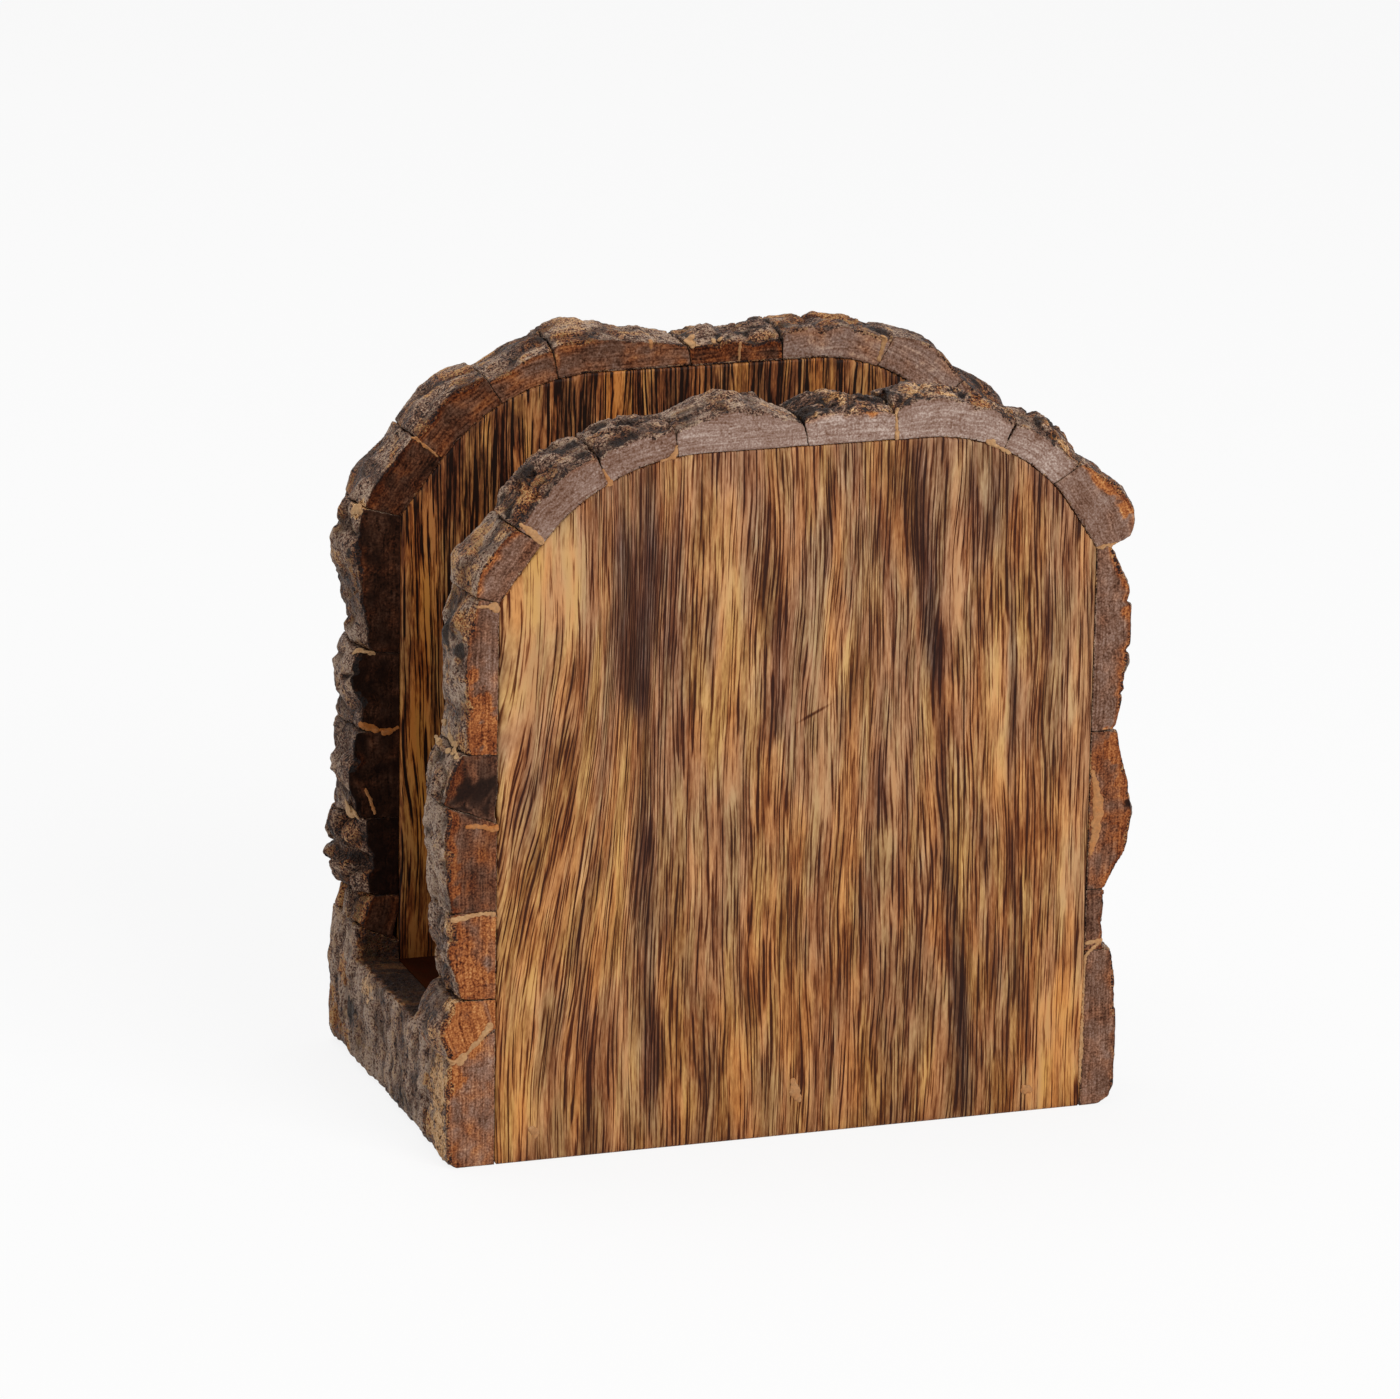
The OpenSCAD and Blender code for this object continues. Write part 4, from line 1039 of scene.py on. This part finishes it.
def putty_piece(name, rows, skin):
    """One piece of putty from rows of points: flat dabs laid on what they touch, melted together.
    Dabs stand 0.4 of their radius apart and look for what they touch within 4 mm."""
    bpy.ops.object.select_all(action="DESELECT")
    bpy.ops.mesh.primitive_ico_sphere_add(subdivisions=2, radius=1.0)
    ball = bpy.context.active_object
    unit = points_of(ball) * MM
    sides = [tuple(p.vertices) for p in ball.data.polygons]
    bpy.data.objects.remove(ball)
    verts, faces, centres = [], [], []
    for tone, points in rows:
        low, high = np.min(points, 0)[:3] - 4, np.max(points, 0)[:3] + 4
        close = np.all((skin[0] > low) & (skin[0] < high), axis=1)
        places, normals = skin[0][close], skin[1][close]
        dense = []
        for a, b in zip(points, points[1:]):
            steps = max(1, int(math.dist(a[:3], b[:3]) / (0.4 * min(a[3], b[3]))))
            dense += [np.array(a) + (np.array(b) - np.array(a)) * k / steps for k in range(steps)]
        dense.append(np.array(points[-1]))
        for p in dense:
            # Each dab is a little off in place and size, and is pressed flat against what it lies on.
            wobble = dice(np.floor(p[None, :3] * 20), 77, 3)[0] * 2 - 1
            radius = 0.8 * p[3] * (1 + 0.4 * wobble[0])
            centre = p[:3] + np.array([wobble[1], 0, wobble[2]]) * p[3] * 0.25
            at = np.linalg.norm(places - centre, axis=1).argmin()
            way = normals[at] / np.linalg.norm(normals[at])
            centre = centre - way * (way @ (centre - places[at]))
            lean = way * ((unit @ way) * (0.16 + 0.12 * radius - radius))[:, None]
            start = len(verts)
            verts += list(centre + unit * radius + lean)
            faces += [tuple(i + start for i in side) for side in sides]
            centres.append((*centre, tone))
    mesh = bpy.data.meshes.new(name)
    mesh.from_pydata([tuple(v * MM) for v in verts], [], faces)
    piece = bpy.data.objects.new(name, mesh)
    bpy.context.scene.collection.objects.link(piece)
    remesh(piece, PUTTY_GRAIN)
    finish_with(piece, "SMOOTH", factor=0.5, iterations=3)
    co = points_of(piece)
    co = co + normals_of(piece) * (0.05 * wave(co / 0.6, 55, 2))[:, None]
    place_points(piece, co)
    centres = np.array(centres)
    nearest = np.array([np.abs(centres[:, :3] - c).sum(1).argmin() for c in co])
    write_mark(piece, "tone", np.clip(centres[nearest, 3] + 0.15 * wave(co / 1.2, 56, 1), 0, 1))
    return piece


class HOLDER_OT_putty(bpy.types.Operator):
    """Presses putty into the joints of the bark and over the nails"""
    bl_idname = "holder.putty"
    bl_label = "Putty"

    def execute(self, context):
        material = putty_material()
        skin = skin_points()
        for side in ("front", "back"):
            for place, table in (("joint", PUTTY), ("nail", NAIL_PUTTY)):
                piece = putty_piece(f"{side}_{place}_putty", table[side], skin)
                dress(piece, [material], f"{side}_{place}_filler")
        return {"FINISHED"}


class HOLDER_OT_nails(bpy.types.Operator):
    """Gives the nails under the putty their steel"""
    bl_idname = "holder.nails"
    bl_label = "Nails"

    def execute(self, context):
        material = steel_material()
        for node in ("front_nails", "back_nails"):
            paint(node, material)
        return {"FINISHED"}


def lamp(name, place, power):
    """A soft lamp, 1 m square, that shines on the middle of the holder."""
    light = bpy.data.lights.new(name, "AREA")
    light.size, light.energy = 1.0, power
    obj = bpy.data.objects.new(name, light)
    obj.location = place
    obj.rotation_euler = (Vector((0, 0, 0.07)) - Vector(place)).to_track_quat("-Z", "Y").to_euler()
    bpy.context.scene.collection.objects.link(obj)


def seen_share(tree):
    """1 for what the camera sees, also off a gloss or through glass, and 0 for the light on the holder."""
    rays = add(tree, "LightPath").outputs
    seen = add(tree, "Math", {0: rays["Is Camera Ray"], 1: rays["Is Glossy Ray"]}, operation="MAXIMUM")
    return add(tree, "Math", {0: seen, 1: rays["Is Transmission Ray"]}, operation="MAXIMUM")


class HOLDER_OT_stage(bpy.types.Operator):
    """Sets the pale floor, the soft light and the camera"""
    bl_idname = "holder.stage"
    bl_label = "Stage"

    def execute(self, context):
        scene = context.scene
        bpy.ops.object.select_all(action="DESELECT")
        bpy.ops.mesh.primitive_plane_add(size=16.0, location=(0, 3.0, 0))
        floor = context.active_object
        floor.name = "studio_floor"
        # A matt white floor that reads as a white sweep, and keeps a faint shadow.
        material, tree, shader = start_material("matt_white_floor")
        wire(shader, {"Base Color": linear("#F2F2F2"), "Roughness": 0.9, "Specular IOR Level": 0.0})
        share = add(tree, "Math", {0: seen_share(tree), 1: 0.86}, operation="MULTIPLY")
        white = add(tree, "Emission", {"Color": (1, 1, 1, 1), "Strength": 1.0})
        both = add(tree, "MixShader", {0: share, 1: shader, 2: white})
        wire(next(node for node in tree.nodes if node.type == "OUTPUT_MATERIAL"), {"Surface": both})
        floor.data.materials.append(material)

        world = bpy.data.worlds.new("soft_studio")
        scene.world = world
        world.use_nodes = True
        tree = world.node_tree
        tree.nodes.clear()
        light = add(tree, "Background", {"Color": (1, 1, 1, 1), "Strength": 0.36})
        white = add(tree, "Background", {"Color": (1, 1, 1, 1), "Strength": 1.0})
        both = add(tree, "MixShader", {0: seen_share(tree), 1: light, 2: white})
        add(tree, "OutputWorld", {"Surface": both})
        lamp("soft_front_right", (0.55, -1.5, 1.2), 20)
        lamp("soft_top", (-0.2, 0.3, 1.6), 9)

        # The camera stands where the photograph was taken from: 19 degrees to the left and 16.5 above.
        camera = bpy.data.cameras.new("camera")
        # A long lens, as the photograph shows little perspective.
        camera.lens, camera.sensor_width, camera.sensor_fit = 193.62, 36.0, "HORIZONTAL"
        camera.clip_start, camera.clip_end = 0.05, 50.0
        stand = bpy.data.objects.new("camera", camera)
        scene.collection.objects.link(stand)
        turn, rise, tilt = (math.radians(a) for a in (19.05, 16.50, 0.94))
        back = Vector((-math.sin(turn) * math.cos(rise), -math.cos(turn) * math.cos(rise), math.sin(rise)))
        right = Vector((math.cos(turn), -math.sin(turn), 0))
        up = back.cross(right)
        level = right * math.cos(tilt) + up * math.sin(tilt)
        high = up * math.cos(tilt) - right * math.sin(tilt)
        place = Vector(scene.holder_sizes.camera_place)
        rows = [[level[i], high[i], back[i], place[i]] for i in range(3)]
        stand.matrix_world = Matrix(rows + [[0, 0, 0, 1]])
        scene.camera = stand
        scene.view_settings.view_transform = "Standard"
        return {"FINISHED"}


STEPS = (HOLDER_OT_stage, HOLDER_OT_boards, HOLDER_OT_bark, HOLDER_OT_putty, HOLDER_OT_nails)


class HOLDER_PT_panel(bpy.types.Panel):
    """Lists the steps, sizes and colours of the holder"""
    bl_label = "Napkin holder"
    bl_idname = "HOLDER_PT_panel"
    bl_space_type = "VIEW_3D"
    bl_region_type = "UI"
    bl_category = "Holder"

    def draw(self, context):
        for step in STEPS:
            self.layout.operator(step.bl_idname)
        for group in (context.scene.holder_sizes, context.scene.holder_colours):
            for name in group.__annotations__:
                self.layout.prop(group, name)


CLASSES = (HolderSizes, HolderColours, *STEPS, HOLDER_PT_panel)


def register():
    for cls in CLASSES:
        bpy.utils.register_class(cls)
    bpy.types.Scene.holder_sizes = bpy.props.PointerProperty(type=HolderSizes)
    bpy.types.Scene.holder_colours = bpy.props.PointerProperty(type=HolderColours)


def unregister():
    del bpy.types.Scene.holder_colours
    del bpy.types.Scene.holder_sizes
    for cls in reversed(CLASSES):
        bpy.utils.unregister_class(cls)


def main():
    register()
    for step in STEPS:
        group, name = step.bl_idname.split(".")
        getattr(getattr(bpy.ops, group), name)()


if __name__ == "__main__":
    main()
